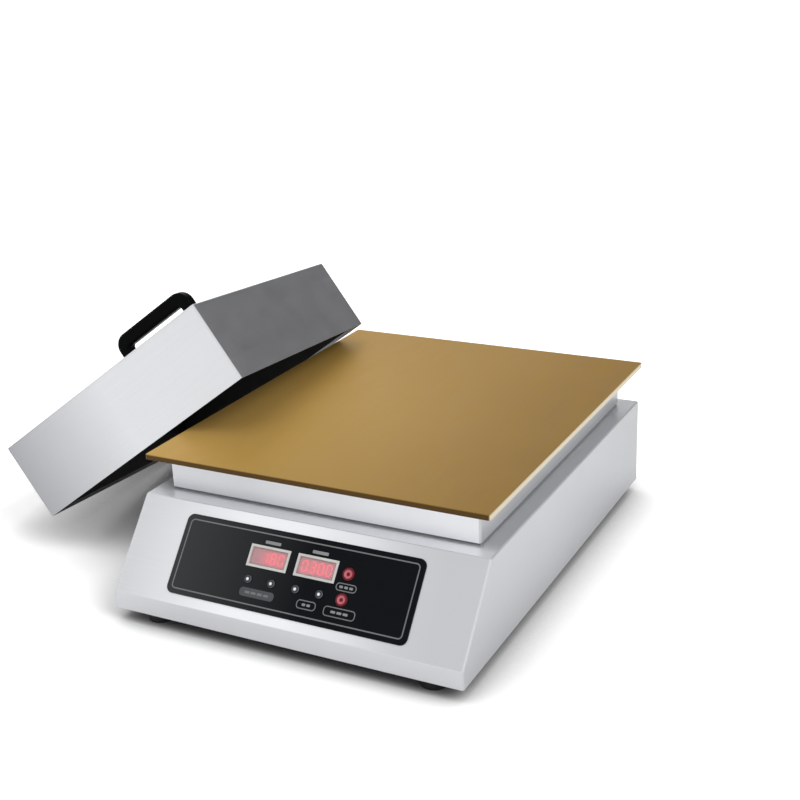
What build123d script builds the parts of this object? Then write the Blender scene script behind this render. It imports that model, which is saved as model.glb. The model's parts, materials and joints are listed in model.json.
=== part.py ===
from build123d import *
import math
import os

os.makedirs("parts", exist_ok=True)

# Every size is in millimetres

# Housing: a folded sheet box with an upright lip, a sloped front and a flat deck
body_width = 420.0
body_depth = 550.0
body_height = 108.0
foot_height = 15.0
lip_height = 21.0
slope_setback = 72.0
sheet = 1.5
bend_radius = 2.5
side_flange = 15.0
end_flange = 40.0
rear_flange = 13.5
deck_ledge = 16.0

# Frame that carries the heating plate, set in from the deck's edges
frame_side_inset = 21.0
frame_front_inset = 22.0
frame_rear_inset = 20.0
frame_top_flange = 15.0
frame_foot_flange = 12.0
seal_thickness = 2.5
seal_inset = 1.5

# Heating plate, which overhangs its frame
plate_side_overhang = 19.0
plate_front_overhang = 20.0
plate_rear_overhang = 38.0
plate_rise = 46.0
plate_thickness = 6.0
plate_corner = 3.0
plate_edge_break = 0.6

# Lid, taken off and leaning on the plate's left edge
lid_width = 330.0
lid_depth = 360.0
lid_height = 100.0
lid_sheet = 1.2
lid_bend = 2.0
lid_turn = 11.6
lid_lean = -36.3
lid_pitch = -8.5
lid_rear_inset = 103.0
rest_gap = 0.3
liner_thickness = 0.8
liner_setback = 4.0

# Lid handle
handle_length = 130.0
handle_depth = 18.0
handle_height = 57.0
grip_thickness = 19.0
leg_width = 16.0
handle_corner = 18.0
handle_inner_corner = 4.0
handle_edge = 4.5

# Control panel on the slope
panel_width = 290.0
panel_height = 89.0
panel_drop = 1.0
panel_corner = 8.0
panel_thickness = 1.5
panel_edge_break = 0.4

# Displays, placed from the middle of the panel
display_left = -32.5
display_right = 25.5
display_rise = 13.2
display_width = 48.6
display_height = 24.0
display_ring = 2.6
display_proud = 0.6
display_clearance = 0.1
lens_thickness = 1.2
lens_setback = 0.3
window_ledge = 2.0
module_clearance = 1.0
digit_pitch = 9.6
digit_width = 5.6
digit_height = 11.5
segment_width = 1.3
segment_gap = 0.3
segment_thickness = 0.3
lens_air = 0.3
digit_texts = ("180", "0300")
last_digit_shift = 14.4

# Keys, placed from the middle of the panel
silver_radius = 4.6
red_radius = 6.9
key_spacing = 28.5
key_pair_shift = -2.5
silver_drop = 12.5
red_x = 63.5
red_upper = 14.0
red_lower = -13.0
key_proud = 0.9
key_side_gap = 0.3
key_travel = 1.0
key_collar = 1.2
collar_thickness = 1.2
key_stem_radius = 1.6
key_end_gap = 0.3
silver_dome = 1.5
red_dish_radius = 4.4
red_dish_depth = 0.7
red_dish_slant = 45.0
red_spot_radius = 1.9
red_spot_height = 0.5

# Display board behind the slope
board_thickness = 1.6
board_drop = 11.0
board_width = 180.0
board_height = 66.0
board_x = 12.0
board_post_radius = 3.0
board_post_inset = 6.0
board_screw_radius = 1.2
switch_size = 6.0
switch_height = 2.6
plunger_height = 0.9
plunger_radius = 1.7

# Heating elements under the plate
element_count = 3
element_row_inset = 107.0
element_half_gap = 35.0
element_turn_inset = 29.0
element_terminal_inset = 34.0
tube_radius = 4.0
tube_bend = 14.0
element_turn_bend = 30.0
tube_clearance = 0.1
terminal_drop = 5.0
terminal_length = 10.0
terminal_radius = 2.0
clamp_thickness = 2.0
clamp_length = 14.0
clamp_overlap = 10.0
clamp_x = 90.0
stud_radius = 3.0
stud_length = 17.0
stud_hole_gap = 0.4
nut_across = 10.0
nut_height = 5.0

# Heat shield and insulation
shield_thickness = 1.0
insulation_thickness = 14.0
shield_gap = 1.5
terminal_hole_gap = 3.0

# Temperature probe and overheat cutout
probe_radius = 3.0
probe_length = 40.0
probe_nose = 2.4
probe_clip_width = 18.0
probe_clip_depth = 16.0
probe_clip_height = 8.0
probe_clearance = 0.05
cutout_radius = 8.0
cutout_height = 10.0
cutout_rim = 3.0
cutout_rim_thickness = 1.2
cutout_x = 60.0

# Base pan and rear panel
pan_thickness = 1.2
pan_gap = 0.5
pan_slot_length = 46.0
pan_slot_width = 4.0
pan_slot_pitch = 14.0
pan_slot_count = 9
pan_slot_x = 85.0
pan_slot_y = 190.0
rear_thickness = 1.2
rear_slot_length = 26.0
rear_slot_width = 3.5
rear_slot_pitch = 9.0
rear_slot_count = 9
rear_slot_x = -95.0
rear_slot_rise = 55.0

# Feet
foot_side_inset = 43.0
foot_inset = 24.0
foot_radius = 16.0
foot_bottom_radius = 14.5
foot_recess_radius = 4.5
foot_recess_depth = 5.0

# Screws and nuts
screw_radius = 1.95
screw_hole_radius = 2.2
screw_head_radius = 3.8
screw_head_height = 2.4
screw_grip = 3.0
screw_end = 1.5
thread_gap = 0.1
screw_nut_across = 7.0
screw_nut_height = 3.2
base_screw_x = 100.0
frame_screw_spread = 158.0
rear_screw_x = 110.0
rear_screw_side_rise = 35.0
rear_screw_step = 22.0
plate_stud_radius = 2.5
plate_stud_length = 12.0
plate_nut_across = 8.0
plate_nut_height = 4.0
handle_screw_radius = 2.4
handle_screw_depth = 16.0
handle_screw_head = 4.6
handle_screw_head_height = 2.6

# Inlet, switch and fuse holder stand in one row on the rear panel
rear_row_rise = 49.0

# Power inlet
inlet_side_inset = 80.0
inlet_bezel_width = 50.0
inlet_bezel_height = 28.0
inlet_bezel_thickness = 3.0
inlet_body_width = 28.0
inlet_body_height = 20.0
inlet_body_depth = 30.0
inlet_mouth_width = 24.0
inlet_mouth_height = 16.5
inlet_mouth_depth = 20.0
inlet_mouth_corner = 3.0
pin_width = 2.0
pin_height = 4.0
pin_length = 15.0
pin_spread = 7.0
pin_earth_rise = 2.0
inlet_screw_spread = 20.0
inlet_screw_radius = 1.5
inlet_screw_head = 2.8
inlet_screw_head_height = 1.5
inlet_screw_length = 7.0

# Power switch
switch_side_inset = 150.0
case_bezel_width = 31.0
case_bezel_height = 27.0
case_bezel_thickness = 2.0
case_body_width = 27.0
case_body_height = 24.0
case_body_depth = 26.0
rocker_width = 17.0
rocker_half_length = 10.0
rocker_middle = 1.5
rocker_end = 3.3
rocker_under = 2.0
rocker_tilt = 10.0
rocker_hub_radius = 3.8
rocker_hub_drop = 2.5
rocker_sink = 1.0
rocker_side_gap = 0.3
rocker_end_gap = 0.35
rocker_pin_radius = 1.5
rocker_pin_length = 1.3
rocker_pin_gap = 0.05

# Fuse holder
fuse_side_inset = 32.0
fuse_cap_radius = 8.0
fuse_cap_length = 9.0
fuse_body_radius = 6.0
fuse_body_length = 30.0
fuse_slot_length = 11.0
fuse_slot_width = 1.6
fuse_slot_depth = 1.2

# Parts on the base pan
power_board_x = 95.0
power_board_rear_inset = 120.0
power_board_width = 140.0
power_board_depth = 90.0
power_board_rise = 9.0
transformer_width = 44.0
transformer_depth = 38.0
transformer_height = 34.0
transformer_x = 35.0
core_reach = 5.0
core_height = 22.0
relay_width = 22.0
relay_depth = 28.0
relay_height = 20.0
relay_x = -48.0
relay_pitch = 30.0
capacitor_radius = 6.0
capacitor_height = 20.0
capacitor_round = 1.0
capacitor_x = -8.0
capacitor_y = 24.0
relay_module_x = -60.0
relay_module_rear_inset = 190.0
relay_module_width = 46.0
relay_module_depth = 60.0
relay_module_height = 28.0
block_x = -60.0
block_rear_inset = 100.0
block_width = 72.0
block_depth = 24.0
block_height = 24.0
block_pitch = 17.0
block_ways = 4
block_screw_radius = 3.0
block_screw_depth = 5.0

# Wiring
lead_radius = 1.6
lead_share = 0.45
lead_rise = 30.0
lead_sag = 8.0
jumper_drop = 30.0
ribbon_width = 22.0
ribbon_thickness = 1.0
ribbon_x = 45.0
ribbon_bend = 8.0
ribbon_reach = 16.0

# Heights and places that follow from the sizes above
lip_top = foot_height + lip_height
deck_height = foot_height + body_height
slope_rise = deck_height - lip_top
plate_top = deck_height + plate_rise
plate_bottom = plate_top - plate_thickness
frame_bottom = deck_height + seal_thickness
frame_front = slope_setback + frame_front_inset
frame_width = body_width - 2 * frame_side_inset
frame_depth = body_depth - frame_rear_inset - frame_front
frame_middle = frame_front + frame_depth / 2
plate_width = frame_width + 2 * plate_side_overhang
plate_front = frame_front - plate_front_overhang
plate_depth = frame_depth + plate_front_overhang + plate_rear_overhang
plate_middle = plate_front + plate_depth / 2
lid_rear = plate_front + plate_depth - lid_rear_inset
pan_bottom = foot_height + sheet
pan_top = pan_bottom + pan_thickness
rear_face = body_depth - sheet

# Places across, back and up that follow the housing and the frame
foot_x = body_width / 2 - foot_side_inset
element_turn_x = frame_width / 2 - element_turn_inset
element_terminal_x = element_terminal_inset - frame_width / 2
terminal_top = deck_height - terminal_drop
rear_slot_z = foot_height + rear_slot_rise
rear_screw_side_z = foot_height + rear_screw_side_rise
rear_row_z = foot_height + rear_row_rise
inlet_x = inlet_side_inset - body_width / 2
switch_x = switch_side_inset - body_width / 2
fuse_x = fuse_side_inset - body_width / 2
power_board_y = body_depth - power_board_rear_inset
relay_module_y = body_depth - relay_module_rear_inset
block_y = body_depth - block_rear_inset

# The lid's own directions, and the rear left corner of its rim on the table
lid_x = Vector(1, 0, 0).rotate(Axis.X, lid_pitch).rotate(Axis.Y, lid_lean).rotate(Axis.Z, lid_turn)
lid_up = Vector(0, 0, 1).rotate(Axis.X, lid_pitch).rotate(Axis.Y, lid_lean).rotate(Axis.Z, lid_turn)
lid_y = lid_up.cross(lid_x)
rim_run = (plate_top / lid_x.Z) * lid_x.X

# The origin is under the middle of machine and lid together
mid_x = (plate_width / 2 + rim_run - lid_up.X * lid_height - body_width / 2) / 2
front_y = -(plate_front + plate_depth) / 2
lid_corner = Vector(mid_x - plate_width / 2 - rim_run, front_y + lid_rear, rest_gap)
lid_origin = lid_corner + lid_x * (lid_width / 2) - lid_y * (lid_depth / 2)


def level(height):
    """Flat plane: x from the machine's middle, y back from its front."""
    return Plane(origin=(mid_x, front_y, height))


def upright(x):
    """Plane across the machine: x back from its front, y up from the table."""
    return Plane(origin=(mid_x + x, front_y, 0), x_dir=(0, 1, 0), z_dir=(1, 0, 0))


def facing_back(y):
    """Plane seen from behind: x to the machine's left, y up from the table."""
    return Plane(origin=(mid_x, front_y + y, 0), x_dir=(-1, 0, 0), z_dir=(0, 1, 0))


def on_slope(out):
    """Plane on the sloped front: x and y from the slope's middle, y up the slope."""
    middle = (mid_x, front_y + slope_setback / 2, (lip_top + deck_height) / 2)
    face = Plane(origin=middle, x_dir=(1, 0, 0), z_dir=(0, -slope_rise, slope_setback))
    return face.offset(out)


def in_lid(height):
    """Plane parallel to the lid's rim: x and y from the rim's middle."""
    return Plane(origin=lid_origin, x_dir=lid_x, z_dir=lid_up).offset(height)


def at(x, y, z):
    """A point given from the machine's middle, its front and the table."""
    return Vector(mid_x + x, front_y + y, z)


# Screw places, given on the planes above
foot_places = [
    (-foot_x, foot_inset),
    (foot_x, foot_inset),
    (-foot_x, body_depth - foot_inset),
    (foot_x, body_depth - foot_inset),
]
base_screw_places = [
    (-base_screw_x, end_flange / 2),
    (base_screw_x, end_flange / 2),
    (-base_screw_x, body_depth - end_flange / 2),
    (base_screw_x, body_depth - end_flange / 2),
]
frame_screw_x = frame_width / 2 - sheet - frame_foot_flange / 2
frame_screw_places = [
    (side * frame_screw_x, frame_middle + step * frame_screw_spread)
    for side in (-1, 1)
    for step in (-1, 0, 1)
]
plate_stud_x = frame_width / 2 - sheet - frame_top_flange / 2
plate_stud_y = frame_depth / 2 - sheet - frame_top_flange / 2
plate_stud_places = [
    (side * plate_stud_x, frame_middle + end * plate_stud_y) for side in (-1, 1) for end in (-1, 1)
]
rear_screw_side_x = body_width / 2 - sheet - rear_flange / 2 + sheet / 2
rear_screw_top_z = deck_height - sheet - rear_flange / 2 + sheet / 2
rear_screw_places = [
    (-rear_screw_side_x, rear_screw_side_z - rear_screw_step / 2),
    (rear_screw_side_x, rear_screw_side_z - rear_screw_step / 2),
    (-rear_screw_side_x, rear_screw_side_z + rear_screw_step),
    (rear_screw_side_x, rear_screw_side_z + rear_screw_step),
    (-rear_screw_x, rear_screw_top_z),
    (rear_screw_x, rear_screw_top_z),
]
inlet_screw_places = [
    (-inlet_x - inlet_screw_spread, rear_row_z),
    (-inlet_x + inlet_screw_spread, rear_row_z),
]

# Panel places, given from the middle of the slope
display_y = display_rise - panel_drop
display_places = [(display_left, display_y), (display_right, display_y)]
silver_places = [
    (display_x + key_pair_shift + side * key_spacing / 2, -silver_drop - panel_drop)
    for display_x in (display_left, display_right)
    for side in (-1, 1)
]
red_places = [(red_x, red_upper - panel_drop), (red_x, red_lower - panel_drop)]
module_width = display_width - 2 * display_ring - 2 * module_clearance
module_height = display_height - 2 * display_ring - 2 * module_clearance
window_width = display_width - 2 * window_ledge
window_height = display_height - 2 * window_ledge
frame_proud = panel_thickness + display_proud
lens_bottom = frame_proud - lens_setback - lens_thickness
digit_face = lens_bottom - lens_air
module_face = digit_face - segment_thickness

# Element places, given from the machine's middle and front
element_pitch = (plate_depth - 2 * element_row_inset) / (element_count - 1)
element_rows = [
    plate_middle + (row - (element_count - 1) / 2) * element_pitch for row in range(element_count)
]
element_height = plate_bottom - tube_clearance - tube_radius
clamp_top = element_height - tube_radius - tube_clearance
clamp_places = [(side * clamp_x, row) for row in element_rows for side in (-1, 1)]
terminal_places = [
    (element_terminal_x, row + side * element_half_gap) for row in element_rows for side in (-1, 1)
]
terminal_bottom = terminal_top - terminal_length
shield_bottom = frame_bottom + sheet
insulation_bottom = shield_bottom + shield_thickness


# Housing
with BuildPart() as housing:
    with BuildSketch(upright(-body_width / 2)):
        with BuildLine():
            Polyline(
                (0, foot_height),
                (0, lip_top),
                (slope_setback, deck_height),
                (body_depth, deck_height),
                (body_depth, foot_height),
                close=True,
            )
        make_face()
    extrude(amount=body_width)
    fillet(housing.edges().filter_by(lambda edge: edge.center().Z > foot_height + sheet), bend_radius)
    with BuildSketch(upright(sheet - body_width / 2)):
        with BuildLine():
            Polyline(
                (0, foot_height),
                (0, lip_top),
                (slope_setback, deck_height),
                (body_depth, deck_height),
                (body_depth, foot_height),
                close=True,
            )
        make_face()
        offset(amount=-sheet, kind=Kind.INTERSECTION)
    extrude(amount=body_width - 2 * sheet, mode=Mode.SUBTRACT)
    with BuildSketch(level(foot_height)):
        with Locations((0, body_depth / 2)):
            Rectangle(body_width - 2 * side_flange, body_depth - 2 * end_flange)
        with Locations(*foot_places, *base_screw_places):
            Circle(screw_hole_radius)
    extrude(amount=sheet, mode=Mode.SUBTRACT)
    with BuildSketch(facing_back(rear_face)):
        with Locations((0, (foot_height + deck_height) / 2)):
            Rectangle(body_width - 2 * rear_flange, deck_height - foot_height - 2 * rear_flange)
        with Locations(*rear_screw_places):
            Circle(screw_hole_radius)
    extrude(amount=sheet, mode=Mode.SUBTRACT)
    with BuildSketch(level(deck_height - sheet)):
        with Locations((0, frame_middle)):
            Rectangle(frame_width - 2 * deck_ledge, frame_depth - 2 * deck_ledge)
        with Locations(*frame_screw_places):
            Circle(screw_hole_radius)
    extrude(amount=sheet, mode=Mode.SUBTRACT)
    with BuildSketch(on_slope(-sheet)):
        with Locations(*display_places):
            Rectangle(window_width, window_height)
        with Locations(*silver_places):
            Circle(silver_radius + key_side_gap)
        with Locations(*red_places):
            Circle(red_radius + key_side_gap)
    extrude(amount=sheet, mode=Mode.SUBTRACT)
housing.part.label = "housing"
export_step(housing.part, "parts/housing.step")

# Base pan, inside the housing on its bottom flange
with BuildPart() as base_pan:
    with BuildSketch(level(pan_bottom)):
        pan_front = sheet + pan_gap
        pan_rear = rear_face - rear_thickness - pan_gap
        with Locations((0, (pan_front + pan_rear) / 2)):
            Rectangle(body_width - 2 * (sheet + pan_gap), pan_rear - pan_front)
        with Locations(*foot_places):
            Circle(screw_hole_radius, mode=Mode.SUBTRACT)
        with Locations(*base_screw_places):
            Circle(screw_hole_radius, mode=Mode.SUBTRACT)
        for slot_x in (-pan_slot_x, pan_slot_x):
            with Locations((slot_x, pan_slot_y)):
                with GridLocations(pan_slot_length, pan_slot_pitch, 1, pan_slot_count):
                    SlotOverall(pan_slot_length, pan_slot_width, mode=Mode.SUBTRACT)
    extrude(amount=pan_thickness)
base_pan.part.label = "base_pan"
export_step(base_pan.part, "parts/base_pan.step")

# Rear panel, inside the housing against its rear flange
with BuildPart() as rear_panel:
    with BuildSketch(facing_back(rear_face - rear_thickness)):
        panel_low = pan_top + pan_gap
        panel_high = deck_height - sheet - pan_gap
        with Locations((0, (panel_low + panel_high) / 2)):
            Rectangle(body_width - 2 * (sheet + pan_gap), panel_high - panel_low)
        with Locations(*rear_screw_places):
            Circle(screw_hole_radius, mode=Mode.SUBTRACT)
        with Locations((-inlet_x, rear_row_z)):
            Rectangle(inlet_body_width + pan_gap, inlet_body_height + pan_gap, mode=Mode.SUBTRACT)
        with Locations(*inlet_screw_places):
            Circle(inlet_screw_radius + key_side_gap, mode=Mode.SUBTRACT)
        with Locations((-switch_x, rear_row_z)):
            Rectangle(case_body_width + pan_gap, case_body_height + pan_gap, mode=Mode.SUBTRACT)
        with Locations((-fuse_x, rear_row_z)):
            Circle(fuse_body_radius + pan_gap / 2, mode=Mode.SUBTRACT)
        with Locations((rear_slot_x, rear_slot_z)):
            with GridLocations(rear_slot_pitch, rear_slot_length, rear_slot_count, 1):
                SlotOverall(rear_slot_length, rear_slot_width, rotation=90, mode=Mode.SUBTRACT)
    extrude(amount=rear_thickness)
rear_panel.part.label = "rear_panel"
export_step(rear_panel.part, "parts/rear_panel.step")

# Seal between the deck and the plate frame
with BuildPart() as frame_seal:
    with BuildSketch(level(deck_height)):
        seal_width = frame_width - 2 * seal_inset
        seal_depth = frame_depth - 2 * seal_inset
        with Locations((0, frame_middle)):
            Rectangle(seal_width, seal_depth)
            Rectangle(
                seal_width - 2 * frame_foot_flange,
                seal_depth - 2 * frame_foot_flange,
                mode=Mode.SUBTRACT,
            )
        with Locations(*frame_screw_places):
            Circle(screw_hole_radius, mode=Mode.SUBTRACT)
    extrude(amount=seal_thickness)
frame_seal.part.label = "frame_seal"
export_step(frame_seal.part, "parts/frame_seal.step")

# Frame under the heating plate, with a foot flange and a top flange turned inwards
with BuildPart() as plate_frame:
    with BuildSketch(level(frame_bottom)):
        with Locations((0, frame_middle)):
            Rectangle(frame_width, frame_depth)
    extrude(amount=plate_bottom - frame_bottom)
    fillet(plate_frame.edges().filter_by(Axis.Z), bend_radius)
    with BuildSketch(level(frame_bottom + sheet)):
        with Locations((0, frame_middle)):
            Rectangle(frame_width - 2 * sheet, frame_depth - 2 * sheet)
    extrude(amount=plate_bottom - frame_bottom - 2 * sheet, mode=Mode.SUBTRACT)
    with BuildSketch(level(frame_bottom)):
        with Locations((0, frame_middle)):
            Rectangle(
                frame_width - 2 * (sheet + frame_foot_flange),
                frame_depth - 2 * (sheet + frame_foot_flange),
            )
        with Locations(*frame_screw_places):
            Circle(screw_hole_radius)
    extrude(amount=sheet, mode=Mode.SUBTRACT)
    with BuildSketch(level(plate_bottom - sheet)):
        with Locations((0, frame_middle)):
            Rectangle(
                frame_width - 2 * (sheet + frame_top_flange),
                frame_depth - 2 * (sheet + frame_top_flange),
            )
        with Locations(*plate_stud_places):
            Circle(plate_stud_radius + stud_hole_gap)
    extrude(amount=sheet, mode=Mode.SUBTRACT)
plate_frame.part.label = "plate_frame"
export_step(plate_frame.part, "parts/plate_frame.step")

# Heating plate
with BuildPart() as heating_plate:
    with BuildSketch(level(plate_bottom)):
        with Locations((0, plate_middle)):
            RectangleRounded(plate_width, plate_depth, plate_corner)
    extrude(amount=plate_thickness)
    chamfer(heating_plate.faces().sort_by(Axis.Z)[-1].edges(), plate_edge_break)
heating_plate.part.label = "heating_plate"
export_step(heating_plate.part, "parts/heating_plate.step")

# Heating elements: each a tube that runs out, turns and comes back, with both ends turned down
for name, row in zip(("front", "middle", "rear"), element_rows):
    near = row - element_half_gap
    far = row + element_half_gap
    with BuildPart() as element:
        with BuildLine() as tube_path:
            FilletPolyline(
                at(element_terminal_x, near, terminal_top),
                at(element_terminal_x, near, element_height),
                at(element_turn_x, near, element_height),
                at(element_turn_x, far, element_height),
                at(element_terminal_x, far, element_height),
                at(element_terminal_x, far, terminal_top),
                radius=(tube_bend, element_turn_bend, element_turn_bend, tube_bend),
            )
        with BuildSketch(Plane(origin=tube_path.line @ 0, z_dir=tube_path.line % 0)):
            Circle(tube_radius)
        sweep()
    element.part.label = f"element_{name}"
    export_step(element.part, f"parts/element_{name}.step")

# Terminal pins at the tubes' ends
with BuildPart() as element_terminals:
    with BuildSketch(level(terminal_bottom)):
        with Locations(*terminal_places):
            Circle(terminal_radius)
    extrude(amount=terminal_length)
element_terminals.part.label = "element_terminals"
export_step(element_terminals.part, "parts/element_terminals.step")

# Clamp bars under the tubes
with BuildPart() as element_clamps:
    with BuildSketch(level(clamp_top - clamp_thickness)):
        with Locations(*clamp_places):
            Rectangle(clamp_length, 2 * (element_half_gap + clamp_overlap))
        with Locations(*clamp_places):
            Circle(stud_radius + stud_hole_gap, mode=Mode.SUBTRACT)
    extrude(amount=clamp_thickness)
element_clamps.part.label = "element_clamps"
export_step(element_clamps.part, "parts/element_clamps.step")

# Studs under the plate: four for the frame and a pair for each element's clamps
with BuildPart() as plate_studs:
    with BuildSketch(level(plate_bottom - plate_stud_length)):
        with Locations(*plate_stud_places):
            Circle(plate_stud_radius)
    extrude(amount=plate_stud_length)
    with BuildSketch(level(plate_bottom - stud_length)):
        with Locations(*clamp_places):
            Circle(stud_radius)
    extrude(amount=stud_length)
plate_studs.part.label = "plate_studs"
export_step(plate_studs.part, "parts/plate_studs.step")

# Nuts on those studs, under the frame's top flange and under the clamp bars
with BuildPart() as plate_nuts:
    with BuildSketch(level(plate_bottom - sheet - plate_nut_height)):
        with Locations(*plate_stud_places):
            RegularPolygon(plate_nut_across / 2, 6, major_radius=False)
        with Locations(*plate_stud_places):
            Circle(plate_stud_radius + thread_gap, mode=Mode.SUBTRACT)
    extrude(amount=plate_nut_height)
    with BuildSketch(level(clamp_top - clamp_thickness - nut_height)):
        with Locations(*clamp_places):
            RegularPolygon(nut_across / 2, 6, major_radius=False)
        with Locations(*clamp_places):
            Circle(stud_radius + thread_gap, mode=Mode.SUBTRACT)
    extrude(amount=nut_height)
plate_nuts.part.label = "plate_nuts"
export_step(plate_nuts.part, "parts/plate_nuts.step")

# Heat shield, on the frame's foot flange
with BuildPart() as heat_shield:
    with BuildSketch(level(shield_bottom)):
        with Locations((0, frame_middle)):
            Rectangle(frame_width - 2 * (sheet + shield_gap), frame_depth - 2 * (sheet + shield_gap))
        with Locations(*terminal_places):
            Circle(tube_radius + terminal_hole_gap, mode=Mode.SUBTRACT)
        with Locations(*frame_screw_places):
            Circle(screw_head_radius, mode=Mode.SUBTRACT)
    extrude(amount=shield_thickness)
heat_shield.part.label = "heat_shield"
export_step(heat_shield.part, "parts/heat_shield.step")

# Insulation slab, on the heat shield
with BuildPart() as insulation:
    with BuildSketch(level(insulation_bottom)):
        with Locations((0, frame_middle)):
            Rectangle(frame_width - 2 * (sheet + shield_gap), frame_depth - 2 * (sheet + shield_gap))
        with Locations(*terminal_places):
            Circle(tube_radius + terminal_hole_gap, mode=Mode.SUBTRACT)
        with Locations(*frame_screw_places):
            Circle(screw_head_radius, mode=Mode.SUBTRACT)
    extrude(amount=insulation_thickness)
insulation.part.label = "insulation"
export_step(insulation.part, "parts/insulation.step")

# Screws that hold the frame to the deck, from below
with BuildPart() as frame_screws:
    with BuildSketch(level(deck_height - sheet - screw_head_height)):
        with Locations(*frame_screw_places):
            Circle(screw_head_radius)
    extrude(amount=screw_head_height)
    with BuildSketch(level(deck_height - sheet)):
        with Locations(*frame_screw_places):
            Circle(screw_radius)
    extrude(amount=2 * sheet + seal_thickness + screw_grip)
frame_screws.part.label = "frame_screws"
export_step(frame_screws.part, "parts/frame_screws.step")

# Temperature probe between the first two elements, and the saddle that holds it to the plate
probe_y = (element_rows[0] + element_rows[1]) / 2
probe_height = plate_bottom - tube_clearance - probe_radius
with BuildPart() as temperature_probe:
    with BuildSketch(upright(-probe_length / 2)):
        with Locations((probe_y, probe_height)):
            Circle(probe_radius)
    extrude(amount=probe_length)
    fillet(temperature_probe.edges().sort_by(Axis.X)[-1], probe_nose)
temperature_probe.part.label = "temperature_probe"
export_step(temperature_probe.part, "parts/temperature_probe.step")

with BuildPart() as probe_clip:
    with BuildSketch(upright(-probe_clip_width / 2)):
        with Locations((probe_y, plate_bottom - probe_clip_height / 2)):
            Rectangle(probe_clip_depth, probe_clip_height)
        with Locations((probe_y, probe_height)):
            Circle(probe_radius + probe_clearance, mode=Mode.SUBTRACT)
        with Locations((probe_y, plate_bottom)):
            Rectangle(probe_radius, 2 * probe_radius, mode=Mode.SUBTRACT)
    extrude(amount=probe_clip_width)
probe_clip.part.label = "probe_clip"
export_step(probe_clip.part, "parts/probe_clip.step")

# Overheat cutout, flat against the plate
cutout_y = (element_rows[-2] + element_rows[-1]) / 2
with BuildPart() as overheat_cutout:
    with BuildSketch(level(plate_bottom - cutout_rim_thickness)):
        with Locations((cutout_x, cutout_y)):
            Circle(cutout_radius + cutout_rim)
    extrude(amount=cutout_rim_thickness)
    with BuildSketch(level(plate_bottom - cutout_height)):
        with Locations((cutout_x, cutout_y)):
            Circle(cutout_radius)
    extrude(amount=cutout_height)
overheat_cutout.part.label = "overheat_cutout"
export_step(overheat_cutout.part, "parts/overheat_cutout.step")

# Control panel
with BuildPart() as control_panel:
    with BuildSketch(on_slope(0)):
        with Locations((0, -panel_drop)):
            RectangleRounded(panel_width, panel_height, panel_corner)
    extrude(amount=panel_thickness)
    chamfer(
        control_panel.faces().sort_by(Axis((0, 0, 0), on_slope(0).z_dir))[-1].edges(),
        panel_edge_break,
    )
    with BuildSketch(on_slope(0)):
        with Locations(*display_places):
            Rectangle(display_width + 2 * display_clearance, display_height + 2 * display_clearance)
        with Locations(*silver_places):
            Circle(silver_radius + key_side_gap)
        with Locations(*red_places):
            Circle(red_radius + key_side_gap)
    extrude(amount=panel_thickness, mode=Mode.SUBTRACT)
control_panel.part.label = "control_panel"
export_step(control_panel.part, "parts/control_panel.step")

# Segments of a lit digit, as (x, y, turn) from the digit's middle
upper_y = digit_height / 4
side_x = digit_width / 2
segment_places = {
    "a": (0, digit_height / 2, 0),
    "b": (side_x, upper_y, 90),
    "c": (side_x, -upper_y, 90),
    "d": (0, -digit_height / 2, 0),
    "e": (-side_x, -upper_y, 90),
    "f": (-side_x, upper_y, 90),
    "g": (0, 0, 0),
}
lit_segments = {
    "0": "abcdef",
    "1": "bc",
    "2": "abdeg",
    "3": "abcdg",
    "4": "bcfg",
    "5": "acdfg",
    "6": "acdefg",
    "7": "abc",
    "8": "abcdefg",
    "9": "abcdfg",
}

# Display frames, in the panel's cut-outs
lens_width = display_width - 2 * display_ring
lens_height = display_height - 2 * display_ring
with BuildPart() as display_frames:
    with BuildSketch(on_slope(0)):
        with Locations(*display_places):
            Rectangle(display_width, display_height)
        with Locations(*display_places):
            Rectangle(lens_width, lens_height, mode=Mode.SUBTRACT)
    extrude(amount=frame_proud)
display_frames.part.label = "display_frames"
export_step(display_frames.part, "parts/display_frames.step")

# Clear windows in the frames
with BuildPart() as display_lenses:
    with BuildSketch(on_slope(lens_bottom)):
        with Locations(*display_places):
            Rectangle(lens_width - 2 * display_clearance, lens_height - 2 * display_clearance)
    extrude(amount=lens_thickness)
display_lenses.part.label = "display_lenses"
export_step(display_lenses.part, "parts/display_lenses.step")

# Digit modules, from the display board to the windows
with BuildPart() as digit_modules:
    with BuildSketch(on_slope(-board_drop)):
        with Locations(*display_places):
            Rectangle(module_width, module_height)
    extrude(amount=board_drop + module_face)
digit_modules.part.label = "digit_modules"
export_step(digit_modules.part, "parts/digit_modules.step")

# Lit digits, which stand against the right end of their window
long_run = digit_width - 2 * segment_gap
short_run = digit_height / 2 - 2 * segment_gap
with BuildPart() as lit_digits:
    with BuildSketch(on_slope(module_face)):
        for place, text in zip(display_places, digit_texts):
            for order, character in enumerate(reversed(text)):
                digit_x = place[0] + last_digit_shift - order * digit_pitch
                for segment in lit_segments[character]:
                    shift_x, shift_y, turn = segment_places[segment]
                    run = long_run if turn == 0 else short_run
                    with Locations(Location((digit_x + shift_x, place[1] + shift_y), turn)):
                        SlotOverall(run - segment_width / 2, segment_width)
    extrude(amount=segment_thickness)
lit_digits.part.label = "lit_digits"
export_step(lit_digits.part, "parts/lit_digits.step")

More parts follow.
